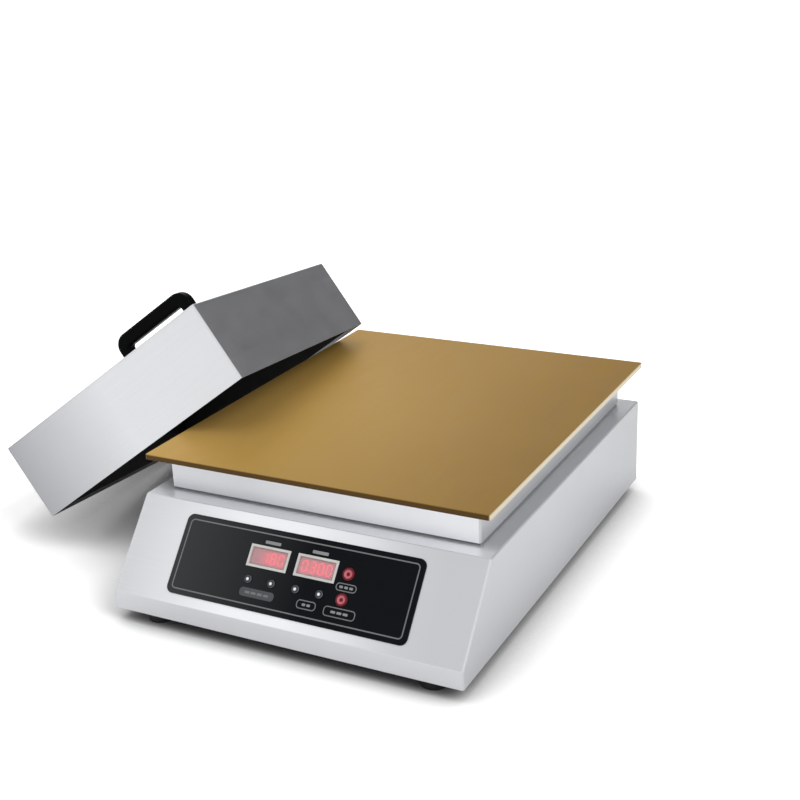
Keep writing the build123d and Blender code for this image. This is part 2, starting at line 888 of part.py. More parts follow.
# Keys: a cap through panel and sheet, a collar behind the sheet and a stem over its switch
collar_top = -sheet - key_side_gap
key_top = panel_thickness + key_proud
switch_top = -board_drop + switch_height + plunger_height
stem_tip = switch_top + key_end_gap + key_travel
silver_names = ("heat_down", "heat_up", "time_down", "time_up")
for name, place in zip(silver_names, silver_places):
    with BuildPart() as silver_key:
        with BuildSketch(on_slope(collar_top)):
            with Locations(place):
                Circle(silver_radius)
        extrude(amount=key_top + silver_dome / 2 - collar_top)
        outward = Axis((0, 0, 0), on_slope(0).z_dir)
        fillet(silver_key.faces().sort_by(outward)[-1].edges(), silver_dome)
        with BuildSketch(on_slope(collar_top - collar_thickness)):
            with Locations(place):
                Circle(silver_radius + key_collar)
        extrude(amount=collar_thickness)
        with BuildSketch(on_slope(stem_tip)):
            with Locations(place):
                Circle(key_stem_radius)
        extrude(amount=collar_top - collar_thickness - stem_tip)
    silver_key.part.label = f"key_{name}"
    export_step(silver_key.part, f"parts/key_{name}.step")

for name, place in zip(("start", "power"), red_places):
    with BuildPart() as red_key:
        with BuildSketch(on_slope(collar_top)):
            with Locations(place):
                Circle(red_radius)
        extrude(amount=key_top - collar_top)
        outward = Axis((0, 0, 0), on_slope(0).z_dir)
        fillet(red_key.faces().sort_by(outward)[-1].edges(), key_proud)
        with BuildSketch(on_slope(key_top)):
            with Locations(place):
                Circle(red_dish_radius)
        extrude(amount=-red_dish_depth, taper=red_dish_slant, mode=Mode.SUBTRACT)
        with BuildSketch(on_slope(key_top - red_dish_depth)):
            with Locations(place):
                Circle(red_spot_radius)
        extrude(amount=red_spot_height)
        with BuildSketch(on_slope(collar_top - collar_thickness)):
            with Locations(place):
                Circle(red_radius + key_collar)
        extrude(amount=collar_thickness)
        with BuildSketch(on_slope(stem_tip)):
            with Locations(place):
                Circle(key_stem_radius)
        extrude(amount=collar_top - collar_thickness - stem_tip)
    red_key.part.label = f"key_{name}"
    export_step(red_key.part, f"parts/key_{name}.step")

# Display board, the posts and screws of both boards, and the key switches
board_post_x = board_width / 2 - board_post_inset
board_post_y = board_height / 2 - board_post_inset
board_post_places = [
    (board_x + side * board_post_x, end * board_post_y) for side in (-1, 1) for end in (-1, 1)
]
with BuildPart() as display_board:
    with BuildSketch(on_slope(-board_drop - board_thickness)):
        with Locations((board_x, 0)):
            Rectangle(board_width, board_height)
        with Locations(*board_post_places):
            Circle(board_screw_radius + key_side_gap, mode=Mode.SUBTRACT)
    extrude(amount=board_thickness)
display_board.part.label = "display_board"
export_step(display_board.part, "parts/display_board.step")

power_post_x = power_board_width / 2 - board_post_inset
power_post_y = power_board_depth / 2 - board_post_inset
power_post_places = [
    (power_board_x + side * power_post_x, power_board_y + end * power_post_y)
    for side in (-1, 1)
    for end in (-1, 1)
]
with BuildPart() as board_posts:
    with BuildSketch(on_slope(-board_drop)):
        with Locations(*board_post_places):
            Circle(board_post_radius)
        with Locations(*board_post_places):
            Circle(board_screw_radius + thread_gap, mode=Mode.SUBTRACT)
    extrude(amount=board_drop - sheet)
    with BuildSketch(level(pan_top)):
        with Locations(*power_post_places):
            Circle(board_post_radius)
    extrude(amount=power_board_rise)
board_posts.part.label = "board_posts"
export_step(board_posts.part, "parts/board_posts.step")

with BuildPart() as board_screws:
    with BuildSketch(on_slope(-board_drop - board_thickness - 2 * board_screw_radius)):
        with Locations(*board_post_places):
            Circle(2 * board_screw_radius)
    extrude(amount=2 * board_screw_radius)
    with BuildSketch(on_slope(-board_drop - board_thickness)):
        with Locations(*board_post_places):
            Circle(board_screw_radius)
    extrude(amount=board_thickness + board_post_radius * 2)
board_screws.part.label = "board_screws"
export_step(board_screws.part, "parts/board_screws.step")

with BuildPart() as key_switches:
    with BuildSketch(on_slope(-board_drop)):
        with Locations(*silver_places, *red_places):
            Rectangle(switch_size, switch_size)
    extrude(amount=switch_height)
    with BuildSketch(on_slope(-board_drop + switch_height)):
        with Locations(*silver_places, *red_places):
            Circle(plunger_radius)
    extrude(amount=plunger_height)
key_switches.part.label = "key_switches"
export_step(key_switches.part, "parts/key_switches.step")

# Power inlet and its pins
bezel_middle = (-inlet_x, rear_row_z)
with BuildPart() as power_inlet:
    with BuildSketch(facing_back(rear_face)):
        with Locations(bezel_middle):
            RectangleRounded(inlet_bezel_width, inlet_bezel_height, inlet_mouth_corner)
    extrude(amount=inlet_bezel_thickness)
    with BuildSketch(facing_back(rear_face - inlet_body_depth)):
        with Locations(bezel_middle):
            Rectangle(inlet_body_width, inlet_body_height)
    extrude(amount=inlet_body_depth)
    with BuildSketch(facing_back(rear_face + inlet_bezel_thickness)):
        with Locations(bezel_middle):
            RectangleRounded(inlet_mouth_width, inlet_mouth_height, inlet_mouth_corner)
    extrude(amount=-inlet_mouth_depth, mode=Mode.SUBTRACT)
    with BuildSketch(facing_back(rear_face)):
        with Locations(*inlet_screw_places):
            Circle(inlet_screw_radius + thread_gap)
    extrude(amount=inlet_bezel_thickness, mode=Mode.SUBTRACT)
power_inlet.part.label = "power_inlet"
export_step(power_inlet.part, "parts/power_inlet.step")

mouth_bottom = rear_face + inlet_bezel_thickness - inlet_mouth_depth
with BuildPart() as inlet_pins:
    with BuildSketch(facing_back(mouth_bottom)):
        with Locations(
            (-inlet_x - pin_spread, rear_row_z - pin_earth_rise),
            (-inlet_x, rear_row_z + pin_earth_rise),
            (-inlet_x + pin_spread, rear_row_z - pin_earth_rise),
        ):
            Rectangle(pin_width, pin_height)
    extrude(amount=pin_length)
inlet_pins.part.label = "inlet_pins"
export_step(inlet_pins.part, "parts/inlet_pins.step")

# Power switch: a case with a pocket, and a rocker on two short pins
rocker_reach = math.hypot(rocker_half_length, rocker_end)
pocket_height = 2 * (rocker_reach + rocker_end_gap)
pocket_width = rocker_width + 2 * rocker_side_gap
pocket_depth = rocker_sink + rocker_hub_drop + rocker_hub_radius + rocker_end_gap
pin_span = rocker_width + 2 * rocker_pin_length
with BuildPart() as switch_case:
    with BuildSketch(facing_back(rear_face)):
        with Locations((-switch_x, rear_row_z)):
            Rectangle(case_bezel_width, case_bezel_height)
    extrude(amount=case_bezel_thickness)
    with BuildSketch(facing_back(rear_face - case_body_depth)):
        with Locations((-switch_x, rear_row_z)):
            Rectangle(case_body_width, case_body_height)
    extrude(amount=case_body_depth)
    with BuildSketch(facing_back(rear_face - pocket_depth)):
        with Locations((-switch_x, rear_row_z)):
            Rectangle(pocket_width, pocket_height)
    extrude(amount=pocket_depth + case_bezel_thickness, mode=Mode.SUBTRACT)
    with BuildSketch(upright(switch_x - pin_span / 2 - rocker_side_gap)):
        with Locations((rear_face - rocker_sink, rear_row_z)):
            Circle(rocker_pin_radius + rocker_pin_gap)
    extrude(amount=pin_span + 2 * rocker_side_gap, mode=Mode.SUBTRACT)
switch_case.part.label = "switch_case"
export_step(switch_case.part, "parts/switch_case.step")

rocker_face = Plane(
    origin=at(switch_x, rear_face - rocker_sink, rear_row_z),
    x_dir=Vector(0, 1, 0).rotate(Axis.X, -rocker_tilt),
    z_dir=(1, 0, 0),
)
with BuildPart() as power_rocker:
    with BuildSketch(rocker_face.offset(-rocker_width / 2)):
        with BuildLine():
            Polyline(
                (rocker_middle, 0),
                (rocker_end, rocker_half_length),
                (-rocker_under, rocker_half_length),
                (-rocker_under, -rocker_half_length),
                (rocker_end, -rocker_half_length),
                close=True,
            )
        make_face()
        with Locations((-rocker_hub_drop, 0)):
            Circle(rocker_hub_radius)
    extrude(amount=rocker_width)
    with BuildSketch(rocker_face.offset(-pin_span / 2)):
        Circle(rocker_pin_radius)
    extrude(amount=pin_span)
power_rocker.part.label = "power_rocker"
export_step(power_rocker.part, "parts/power_rocker.step")

# Fuse holder
with BuildPart() as fuse_holder:
    with BuildSketch(facing_back(rear_face)):
        with Locations((-fuse_x, rear_row_z)):
            Circle(fuse_cap_radius)
    extrude(amount=fuse_cap_length)
    fillet(fuse_holder.faces().sort_by(Axis.Y)[-1].edges(), fuse_slot_depth)
    with BuildSketch(facing_back(rear_face + fuse_cap_length)):
        with Locations((-fuse_x, rear_row_z)):
            Rectangle(fuse_slot_length, fuse_slot_width)
    extrude(amount=-fuse_slot_depth, mode=Mode.SUBTRACT)
    with BuildSketch(facing_back(rear_face - fuse_body_length)):
        with Locations((-fuse_x, rear_row_z)):
            Circle(fuse_body_radius)
    extrude(amount=fuse_body_length)
fuse_holder.part.label = "fuse_holder"
export_step(fuse_holder.part, "parts/fuse_holder.step")

# Power board on its four posts, with a transformer, two relays and a capacitor
power_board_bottom = pan_top + power_board_rise
power_board_top = power_board_bottom + board_thickness
with BuildPart() as power_board:
    with BuildSketch(level(power_board_bottom)):
        with Locations((power_board_x, power_board_y)):
            Rectangle(power_board_width, power_board_depth)
    extrude(amount=board_thickness)
power_board.part.label = "power_board"
export_step(power_board.part, "parts/power_board.step")

with BuildPart() as transformer:
    with BuildSketch(level(power_board_top)):
        with Locations((power_board_x + transformer_x, power_board_y)):
            Rectangle(transformer_width, transformer_depth)
    extrude(amount=transformer_height)
    with BuildSketch(level(power_board_top + (transformer_height - core_height) / 2)):
        with Locations((power_board_x + transformer_x, power_board_y)):
            Rectangle(transformer_width + 2 * core_reach, transformer_depth - 2 * core_reach)
    extrude(amount=core_height)
transformer.part.label = "transformer"
export_step(transformer.part, "parts/transformer.step")

with BuildPart() as board_relays:
    with BuildSketch(level(power_board_top)):
        with Locations(
            (power_board_x + relay_x, power_board_y - relay_pitch / 2),
            (power_board_x + relay_x, power_board_y + relay_pitch / 2),
        ):
            Rectangle(relay_width, relay_depth)
    extrude(amount=relay_height)
board_relays.part.label = "board_relays"
export_step(board_relays.part, "parts/board_relays.step")

with BuildPart() as capacitor:
    with BuildSketch(level(power_board_top)):
        with Locations((power_board_x + capacitor_x, power_board_y + capacitor_y)):
            Circle(capacitor_radius)
    extrude(amount=capacitor_height)
    fillet(capacitor.faces().sort_by(Axis.Z)[-1].edges(), capacitor_round)
capacitor.part.label = "capacitor"
export_step(capacitor.part, "parts/capacitor.step")

# Solid state relay and terminal block, on the base pan
with BuildPart() as solid_state_relay:
    with BuildSketch(level(pan_top)):
        with Locations((relay_module_x, relay_module_y)):
            Rectangle(relay_module_width, relay_module_depth)
    extrude(amount=relay_module_height)
solid_state_relay.part.label = "solid_state_relay"
export_step(solid_state_relay.part, "parts/solid_state_relay.step")

block_first_x = block_x - (block_ways - 1) / 2 * block_pitch
block_places = [(block_first_x + way * block_pitch, block_y) for way in range(block_ways)]
with BuildPart() as terminal_block:
    with BuildSketch(level(pan_top)):
        with Locations((block_x, block_y)):
            Rectangle(block_width, block_depth)
    extrude(amount=block_height)
    with BuildSketch(level(pan_top + block_height)):
        with Locations(*block_places):
            Circle(block_screw_radius)
    extrude(amount=-block_screw_depth, mode=Mode.SUBTRACT)
terminal_block.part.label = "terminal_block"
export_step(terminal_block.part, "parts/terminal_block.step")

# Wiring routes: from the terminals, round the insides, to the relay and the block
relay_module_top = pan_top + relay_module_height
block_top = pan_top + block_height
block_entry = block_top - block_screw_depth
first_y = terminal_places[0][1]
last_y = terminal_places[-1][1]
jumper_low = terminal_bottom - jumper_drop
heater_routes = []
for row in element_rows[:-1]:
    start_y = row + element_half_gap
    end_y = row + element_pitch - element_half_gap
    heater_routes.append(
        [
            at(element_terminal_x, start_y, terminal_bottom),
            at(element_terminal_x, start_y, jumper_low),
            at(element_terminal_x, end_y, jumper_low),
            at(element_terminal_x, end_y, terminal_bottom),
        ]
    )
relay_y = relay_module_y - relay_module_depth / 4
lead_low = relay_module_top + lead_rise
heater_routes.append(
    [
        at(element_terminal_x, first_y, terminal_bottom),
        at(element_terminal_x, first_y, lead_low + lead_sag),
        at(element_terminal_x + lead_sag, (2 * first_y + relay_y) / 3, lead_low),
        at(relay_module_x - lead_rise, (first_y + 2 * relay_y) / 3, lead_low - lead_sag),
        at(relay_module_x, relay_y, lead_low),
        at(relay_module_x, relay_y, relay_module_top),
    ]
)
heater_routes.append(
    [
        at(element_terminal_x, last_y, terminal_bottom),
        at(element_terminal_x, last_y, lead_low),
        at(block_places[0][0] - lead_rise, (last_y + block_y) / 2, lead_low - lead_sag),
        at(block_places[0][0], block_y, lead_low),
        at(block_places[0][0], block_y, block_entry),
    ]
)
inlet_back = rear_face - inlet_body_depth
case_back = rear_face - case_body_depth
mains_routes = [
    [
        at(inlet_x + pin_spread, inlet_back, rear_row_z),
        at(inlet_x + pin_spread, inlet_back - lead_rise, rear_row_z),
        at(block_places[1][0], block_y + lead_rise, rear_row_z + lead_sag),
        at(block_places[1][0], block_y, block_top + lead_rise / 2),
        at(block_places[1][0], block_y, block_entry),
    ],
    [
        at(switch_x, case_back, rear_row_z),
        at(switch_x, case_back - lead_rise, rear_row_z),
        at(block_places[2][0], block_y + lead_rise / 2, rear_row_z + lead_sag),
        at(block_places[2][0], block_y, block_top + lead_rise / 2),
        at(block_places[2][0], block_y, block_entry),
    ],
]


def lead_bends(points):
    """The largest bend that each corner of a route has room for."""
    bends = []
    for before, corner, after in zip(points, points[1:], points[2:]):
        arriving = corner - before
        leaving = after - corner
        half_turn = math.radians(arriving.get_angle(leaving)) / 2
        shorter = min(arriving.length, leaving.length)
        bends.append(lead_share * shorter / math.tan(half_turn))
    return bends


# Heater leads: two jumpers between neighbouring elements and two outer leads
with BuildPart() as heater_leads:
    for route in heater_routes:
        with BuildLine() as lead_path:
            FilletPolyline(*route, radius=lead_bends(route))
        with BuildSketch(Plane(origin=lead_path.line @ 0, z_dir=lead_path.line % 0)):
            Circle(lead_radius)
        sweep()
heater_leads.part.label = "heater_leads"
export_step(heater_leads.part, "parts/heater_leads.step")

# Mains leads, from the inlet and the switch to the terminal block
with BuildPart() as mains_leads:
    for route in mains_routes:
        with BuildLine() as lead_path:
            FilletPolyline(*route, radius=lead_bends(route))
        with BuildSketch(Plane(origin=lead_path.line @ 0, z_dir=lead_path.line % 0)):
            Circle(lead_radius)
        sweep()
mains_leads.part.label = "mains_leads"
export_step(mains_leads.part, "parts/mains_leads.step")

# Flat ribbon from the back of the display board, along the pan, to the power board's front edge
board_back = on_slope(-board_drop - board_thickness).origin
ribbon_turn = on_slope(-board_drop - board_thickness - ribbon_reach).origin
ribbon_low = pan_top + ribbon_thickness
ribbon_level = power_board_bottom + board_thickness / 2
board_front = power_board_y - power_board_depth / 2
with BuildPart() as panel_ribbon:
    with BuildSketch(upright(ribbon_x - ribbon_width / 2)):
        with BuildLine():
            FilletPolyline(
                (board_back.Y - front_y, board_back.Z),
                (ribbon_turn.Y - front_y, ribbon_turn.Z),
                (slope_setback + 2 * ribbon_reach, ribbon_low),
                (board_front - 2 * ribbon_reach, ribbon_low),
                (board_front - ribbon_reach, ribbon_level),
                (board_front, ribbon_level),
                radius=ribbon_bend,
            )
        trace(line_width=ribbon_thickness)
    extrude(amount=ribbon_width)
panel_ribbon.part.label = "panel_ribbon"
export_step(panel_ribbon.part, "parts/panel_ribbon.step")

# Feet, each a rubber cone with a recess for its screw
foot_names = ("front_left", "front_right", "rear_left", "rear_right")
for name, place in zip(foot_names, foot_places):
    with BuildPart() as foot:
        with BuildSketch(level(0)):
            with Locations(place):
                Circle(foot_bottom_radius)
        with BuildSketch(level(foot_height)):
            with Locations(place):
                Circle(foot_radius)
        loft()
        with BuildSketch(level(0)):
            with Locations(place):
                Circle(screw_hole_radius)
        extrude(amount=foot_height, mode=Mode.SUBTRACT)
        with BuildSketch(level(0)):
            with Locations(place):
                Circle(foot_recess_radius)
        extrude(amount=foot_recess_depth, mode=Mode.SUBTRACT)
    foot.part.label = f"foot_{name}"
    export_step(foot.part, f"parts/foot_{name}.step")

with BuildPart() as foot_nuts:
    with BuildSketch(level(pan_top)):
        with Locations(*foot_places):
            RegularPolygon(screw_nut_across / 2, 6, major_radius=False)
        with Locations(*foot_places):
            Circle(screw_radius + thread_gap, mode=Mode.SUBTRACT)
    extrude(amount=screw_nut_height)
foot_nuts.part.label = "foot_nuts"
export_step(foot_nuts.part, "parts/foot_nuts.step")

# Screws that hold the feet, the base pan, the rear panel and the inlet
with BuildPart() as base_screws:
    with BuildSketch(level(foot_height - screw_head_height)):
        with Locations(*base_screw_places):
            Circle(screw_head_radius)
    extrude(amount=screw_head_height)
    with BuildSketch(level(foot_height)):
        with Locations(*base_screw_places):
            Circle(screw_radius)
    extrude(amount=pan_top - foot_height + screw_grip)
    with BuildSketch(level(foot_recess_depth - screw_head_height)):
        with Locations(*foot_places):
            Circle(screw_head_radius)
    extrude(amount=screw_head_height)
    with BuildSketch(level(foot_recess_depth)):
        with Locations(*foot_places):
            Circle(screw_radius)
    extrude(amount=pan_top + screw_nut_height + screw_end - foot_recess_depth)
base_screws.part.label = "base_screws"
export_step(base_screws.part, "parts/base_screws.step")

with BuildPart() as rear_screws:
    with BuildSketch(facing_back(body_depth)):
        with Locations(*rear_screw_places):
            Circle(screw_head_radius)
    extrude(amount=screw_head_height)
    with BuildSketch(facing_back(rear_face - rear_thickness - screw_grip)):
        with Locations(*rear_screw_places):
            Circle(screw_radius)
    extrude(amount=sheet + rear_thickness + screw_grip)
    with BuildSketch(facing_back(rear_face + inlet_bezel_thickness)):
        with Locations(*inlet_screw_places):
            Circle(inlet_screw_head)
    extrude(amount=inlet_screw_head_height)
    with BuildSketch(facing_back(rear_face + inlet_bezel_thickness - inlet_screw_length)):
        with Locations(*inlet_screw_places):
            Circle(inlet_screw_radius)
    extrude(amount=inlet_screw_length)
rear_screws.part.label = "rear_screws"
export_step(rear_screws.part, "parts/rear_screws.step")

# Lid shell
handle_screw_x = handle_length / 2 - leg_width / 2
handle_screw_places = [(-handle_screw_x, 0), (handle_screw_x, 0)]
lid_axis = Axis((0, 0, 0), lid_up)
with BuildPart() as lid_shell:
    with BuildSketch(in_lid(0)):
        Rectangle(lid_width, lid_depth)
    extrude(amount=lid_height)
    rim_face = lid_shell.faces().sort_by(lid_axis)[0]
    fillet(lid_shell.edges() - rim_face.edges(), lid_bend)
    with BuildSketch(in_lid(0)):
        Rectangle(lid_width - 2 * lid_sheet, lid_depth - 2 * lid_sheet)
    extrude(amount=lid_height - lid_sheet, mode=Mode.SUBTRACT)
    with BuildSketch(in_lid(lid_height - lid_sheet)):
        with Locations(*handle_screw_places):
            Circle(handle_screw_radius + key_side_gap)
    extrude(amount=lid_sheet, mode=Mode.SUBTRACT)
lid_shell.part.label = "lid_shell"
export_step(lid_shell.part, "parts/lid_shell.step")

# Black liner inside the lid, set back from the rim
liner_width = lid_width - 2 * lid_sheet
liner_depth = lid_depth - 2 * lid_sheet
liner_top = lid_height - lid_sheet
with BuildPart() as lid_liner:
    with BuildSketch(in_lid(liner_setback)):
        Rectangle(liner_width, liner_depth)
    extrude(amount=liner_top - liner_setback)
    with BuildSketch(in_lid(liner_setback)):
        Rectangle(liner_width - 2 * liner_thickness, liner_depth - 2 * liner_thickness)
    extrude(amount=liner_top - liner_setback - liner_thickness, mode=Mode.SUBTRACT)
    with BuildSketch(in_lid(liner_top - liner_thickness)):
        with Locations(*handle_screw_places):
            Circle(handle_screw_radius + key_side_gap)
    extrude(amount=liner_thickness, mode=Mode.SUBTRACT)
lid_liner.part.label = "lid_liner"
export_step(lid_liner.part, "parts/lid_liner.step")

# Bridge handle on the lid
handle_plane = Plane(origin=in_lid(lid_height).origin, x_dir=lid_x, z_dir=lid_y * -1)
with BuildPart() as lid_handle:
    with BuildSketch(handle_plane.offset(-handle_depth / 2)):
        with BuildLine():
            FilletPolyline(
                (-handle_length / 2, 0),
                (-handle_length / 2, handle_height),
                (handle_length / 2, handle_height),
                (handle_length / 2, 0),
                radius=handle_corner,
            )
            Line((handle_length / 2, 0), (handle_length / 2 - leg_width, 0))
            FilletPolyline(
                (handle_length / 2 - leg_width, 0),
                (handle_length / 2 - leg_width, handle_height - grip_thickness),
                (leg_width - handle_length / 2, handle_height - grip_thickness),
                (leg_width - handle_length / 2, 0),
                radius=handle_inner_corner,
            )
            Line((leg_width - handle_length / 2, 0), (-handle_length / 2, 0))
        make_face()
    extrude(amount=handle_depth)
    foot_faces = lid_handle.faces().filter_by(lambda face: abs(face.normal_at().dot(lid_up) + 1) < 0.001)
    flat_ends = lid_handle.faces().filter_by(Plane(origin=(0, 0, 0), z_dir=lid_y))
    rounded = flat_ends.edges() - foot_faces.sort_by(lid_axis)[:2].edges()
    fillet(rounded, handle_edge)
    with BuildSketch(in_lid(lid_height)):
        with Locations(*handle_screw_places):
            Circle(handle_screw_radius + thread_gap)
    extrude(amount=handle_screw_depth + screw_end, mode=Mode.SUBTRACT)
lid_handle.part.label = "lid_handle"
export_step(lid_handle.part, "parts/lid_handle.step")

# Screws that hold the handle, with their heads inside the lid
with BuildPart() as handle_screws:
    head_base = liner_top - liner_thickness
    with BuildSketch(in_lid(head_base - handle_screw_head_height)):
        with Locations(*handle_screw_places):
            Circle(handle_screw_head)
    extrude(amount=handle_screw_head_height)
    with BuildSketch(in_lid(head_base)):
        with Locations(*handle_screw_places):
            Circle(handle_screw_radius)
    extrude(amount=lid_height - head_base + handle_screw_depth)
handle_screws.part.label = "handle_screws"
export_step(handle_screws.part, "parts/handle_screws.step")
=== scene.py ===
import functools
import json
import math

import bmesh
import bpy
from mathutils import Matrix, Vector


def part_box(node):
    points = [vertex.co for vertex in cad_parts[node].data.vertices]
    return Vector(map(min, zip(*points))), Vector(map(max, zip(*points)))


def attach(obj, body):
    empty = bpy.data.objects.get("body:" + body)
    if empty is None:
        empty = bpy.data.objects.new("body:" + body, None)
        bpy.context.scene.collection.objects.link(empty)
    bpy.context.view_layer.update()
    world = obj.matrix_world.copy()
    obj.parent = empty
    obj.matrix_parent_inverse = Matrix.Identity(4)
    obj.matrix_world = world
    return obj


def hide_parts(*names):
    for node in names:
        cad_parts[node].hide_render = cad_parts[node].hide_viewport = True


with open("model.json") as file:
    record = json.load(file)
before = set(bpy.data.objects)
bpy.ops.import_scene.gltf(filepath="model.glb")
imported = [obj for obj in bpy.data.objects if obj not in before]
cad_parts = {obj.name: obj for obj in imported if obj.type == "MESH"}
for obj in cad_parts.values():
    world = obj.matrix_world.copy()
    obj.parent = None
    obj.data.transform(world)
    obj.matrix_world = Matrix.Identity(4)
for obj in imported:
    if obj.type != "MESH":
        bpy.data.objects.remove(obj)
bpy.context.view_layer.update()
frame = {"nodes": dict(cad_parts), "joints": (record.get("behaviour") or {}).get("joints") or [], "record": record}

scene = bpy.context.scene
nodes = frame["nodes"]

RIGHT = Vector((1, 0, 0))
BACK = Vector((0, 1, 0))
FRONT = -BACK
UP = Vector((0, 0, 1))

# Light of the studio: directions point to the source, angles are in degrees
FLOOR_SHADE = 0.90
FLOOR_LIFT = 0.50  # more on what the camera sees of the floor, so that it shows white
MIRRORED_LEFT = 0.32  # painted reflection: more on what the metal shows of the floor, at its left and right
MIRRORED_RIGHT = 0.02
MIRRORED_SPAN = (-0.25, 0.40)
# how near a piece paints shadow on the floor, metres
PAINTED_SHADOW_REACH = 0.10
CEILING = 0.70
CEILING_ANGLES = (20, 80)
HORIZON = 0.45
KEY_FROM = (-0.10, -0.25, 0.96)
KEY_POWER = 0.4
KEY_ANGLE = 40.0
FILL_FROM = (0.75, -0.10, 0.62)
FILL_POWER = 1.4
FILL_ANGLE = 40.0
BACK_WALL = (0.19, 0.95, 0.24)
BACK_WALL_ANGLES = (12, 34)
BACK_WALL_DARK = 0.92

# Colours and finish of the sheet metal with its painted highlight and painted shade, and the lit faces of the
# panel
STEEL = (0.66, 0.67, 0.69)
STEEL_PAINTED_HIGHLIGHT = (0.90, 0.91, 0.94)
STEEL_PAINTED_SHADE = (0.57, 0.58, 0.60)
PAN_STEEL = (0.50, 0.51, 0.52)
LID_PAINTED_SHADE = (0.34, 0.345, 0.36)
LID_SIDE_PAINTED_SHADE = (0.56, 0.57, 0.595)
BODY_ROUGHNESS = 0.34
BODY_METAL = 0.65
LID_ROUGHNESS = 0.32
SHEEN_LEFT = 0.50
SHEEN_RIGHT = 0.05
GLOW = 0.30

# Places and directions, in metres, in the frame of the solids
JOINTS = {joint["name"]: joint for joint in frame["joints"]}
HOUSING_LOW, HOUSING_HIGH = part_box("housing")
MIDDLE_X = (HOUSING_LOW.x + HOUSING_HIGH.x) / 2
FRONT_Y = HOUSING_LOW.y
LIP_TOP = 0.036
SLOPE_RUN = 0.072
SLOPE_RISE = 0.087
SLOPE_LENGTH = math.hypot(SLOPE_RUN, SLOPE_RISE)
SLOPE_MIDDLE = Vector((MIDDLE_X, FRONT_Y + SLOPE_RUN / 2, LIP_TOP + SLOPE_RISE / 2))
SLOPE_UP = Vector((0, SLOPE_RUN, SLOPE_RISE)) / SLOPE_LENGTH
SLOPE_OUT = Vector((0, -SLOPE_RISE, SLOPE_RUN)) / SLOPE_LENGTH
LID_TURN = math.radians(11.6)
LID_LEAN = math.radians(36.3)
LID_LEVEL = RIGHT * math.cos(LID_TURN) + BACK * math.sin(LID_TURN)
LID_ACROSS = LID_LEVEL * math.cos(LID_LEAN) + UP * math.sin(LID_LEAN)
LID_UP = Vector(JOINTS["lid_lift"]["axis"])
LID_ALONG = LID_UP.cross(LID_ACROSS)

# The lit part of the displays, from the slope's middle: where it starts, is full, fades and ends
LIT_RISE = (0.0035, 0.0075, 0.0165, 0.0205)
LIT_FIRST = (-0.048, -0.038, -0.020, -0.013)
LIT_SECOND = (0.005, 0.012, 0.038, 0.045)

# Rings of colour on the keys, from the key's axis: where each fades and ends; the red keys' pink ring and the
# silver keys' top and edge ring are painted highlights
RED_PAINTED_DISH = (0.0042, 0.0050)
RED_DOT = (0.0017, 0.0021)
SILVER_PAINTED_SPOT = (0.0008, 0.0022)
SILVER_PAINTED_RIM = (0.0034, 0.0044)


# Node helpers

def new_material(name):
    material = bpy.data.materials.new(name)
    material.use_nodes = True
    tree = material.node_tree
    tree.nodes.clear()
    output = tree.nodes.new("ShaderNodeOutputMaterial")
    shader = tree.nodes.new("ShaderNodeBsdfPrincipled")
    tree.links.new(shader.outputs["BSDF"], output.inputs["Surface"])
    return material, tree, shader


def add(tree, kind, **settings):
    node = tree.nodes.new(kind)
    for key, value in settings.items():
        setattr(node, key, value)
    return node


def feed(tree, socket, value):
    """Set a socket to a number, or link another node's output to it."""
    if hasattr(value, "is_linked"):
        tree.links.new(value, socket)
    else:
        socket.default_value = value


def math_node(tree, operation, a, b=None):
    node = add(tree, "ShaderNodeMath", operation=operation)
    for socket, value in zip(node.inputs, (a, b)):
        if value is not None:
            feed(tree, socket, value)
    return node.outputs[0]


def product(tree, *factors):
    return functools.reduce(lambda a, b: math_node(tree, "MULTIPLY", a, b), factors)


def largest(tree, *values):
    return functools.reduce(lambda a, b: math_node(tree, "MAXIMUM", a, b), values)


def vector_node(tree, operation, a, b=None):
    node = add(tree, "ShaderNodeVectorMath", operation=operation)
    tree.links.new(a, node.inputs[0])
    if b is not None:
        node.inputs[1].default_value = b
    return node.outputs["Value" if operation in ("DOT_PRODUCT", "LENGTH") else "Vector"]


def object_coordinates(tree):
    return add(tree, "ShaderNodeTexCoord").outputs["Object"]


def coordinate(tree, axis):
    separate = add(tree, "ShaderNodeSeparateXYZ")
    tree.links.new(object_coordinates(tree), separate.inputs["Vector"])
    return separate.outputs[axis]


def stretched(tree, scale, source=None):
    mapping = add(tree, "ShaderNodeMapping")
    mapping.inputs["Scale"].default_value = scale
    tree.links.new(source or object_coordinates(tree), mapping.inputs["Vector"])
    return mapping.outputs["Vector"]


def noise(tree, vector, scale=1.0, detail=2.0, roughness=0.5):
    node = add(tree, "ShaderNodeTexNoise")
    node.inputs["Scale"].default_value = scale
    node.inputs["Detail"].default_value = detail
    node.inputs["Roughness"].default_value = roughness
    tree.links.new(vector, node.inputs["Vector"])
    return node.outputs["Fac"]


def spread(tree, value, low, high, from_low=0.3, from_high=0.7, curve="LINEAR"):
    """Map one range of a value to another, clamped at both ends."""
    node = add(tree, "ShaderNodeMapRange", interpolation_type=curve)
    tree.links.new(value, node.inputs["Value"])
    node.inputs["From Min"].default_value = from_low
    node.inputs["From Max"].default_value = from_high
    node.inputs["To Min"].default_value = low
    node.inputs["To Max"].default_value = high
    return node.outputs["Result"]


def hill(tree, value, foot_low, top_low, top_high, foot_high):
    """1 between two places, fading to 0 on either side."""
    rise = spread(tree, value, 0.0, 1.0, foot_low, top_low)
    fall = spread(tree, value, 1.0, 0.0, top_high, foot_high)
    return product(tree, rise, fall)


def two_colours(tree, factor, first, second):
    node = add(tree, "ShaderNodeMix", data_type="RGBA")
    tree.links.new(factor, node.inputs["Factor"])
    for socket, colour in zip(node.inputs[6:8], (first, second)):
        feed(tree, socket, colour if hasattr(colour, "is_linked") else (*colour, 1.0))
    return node.outputs[2]


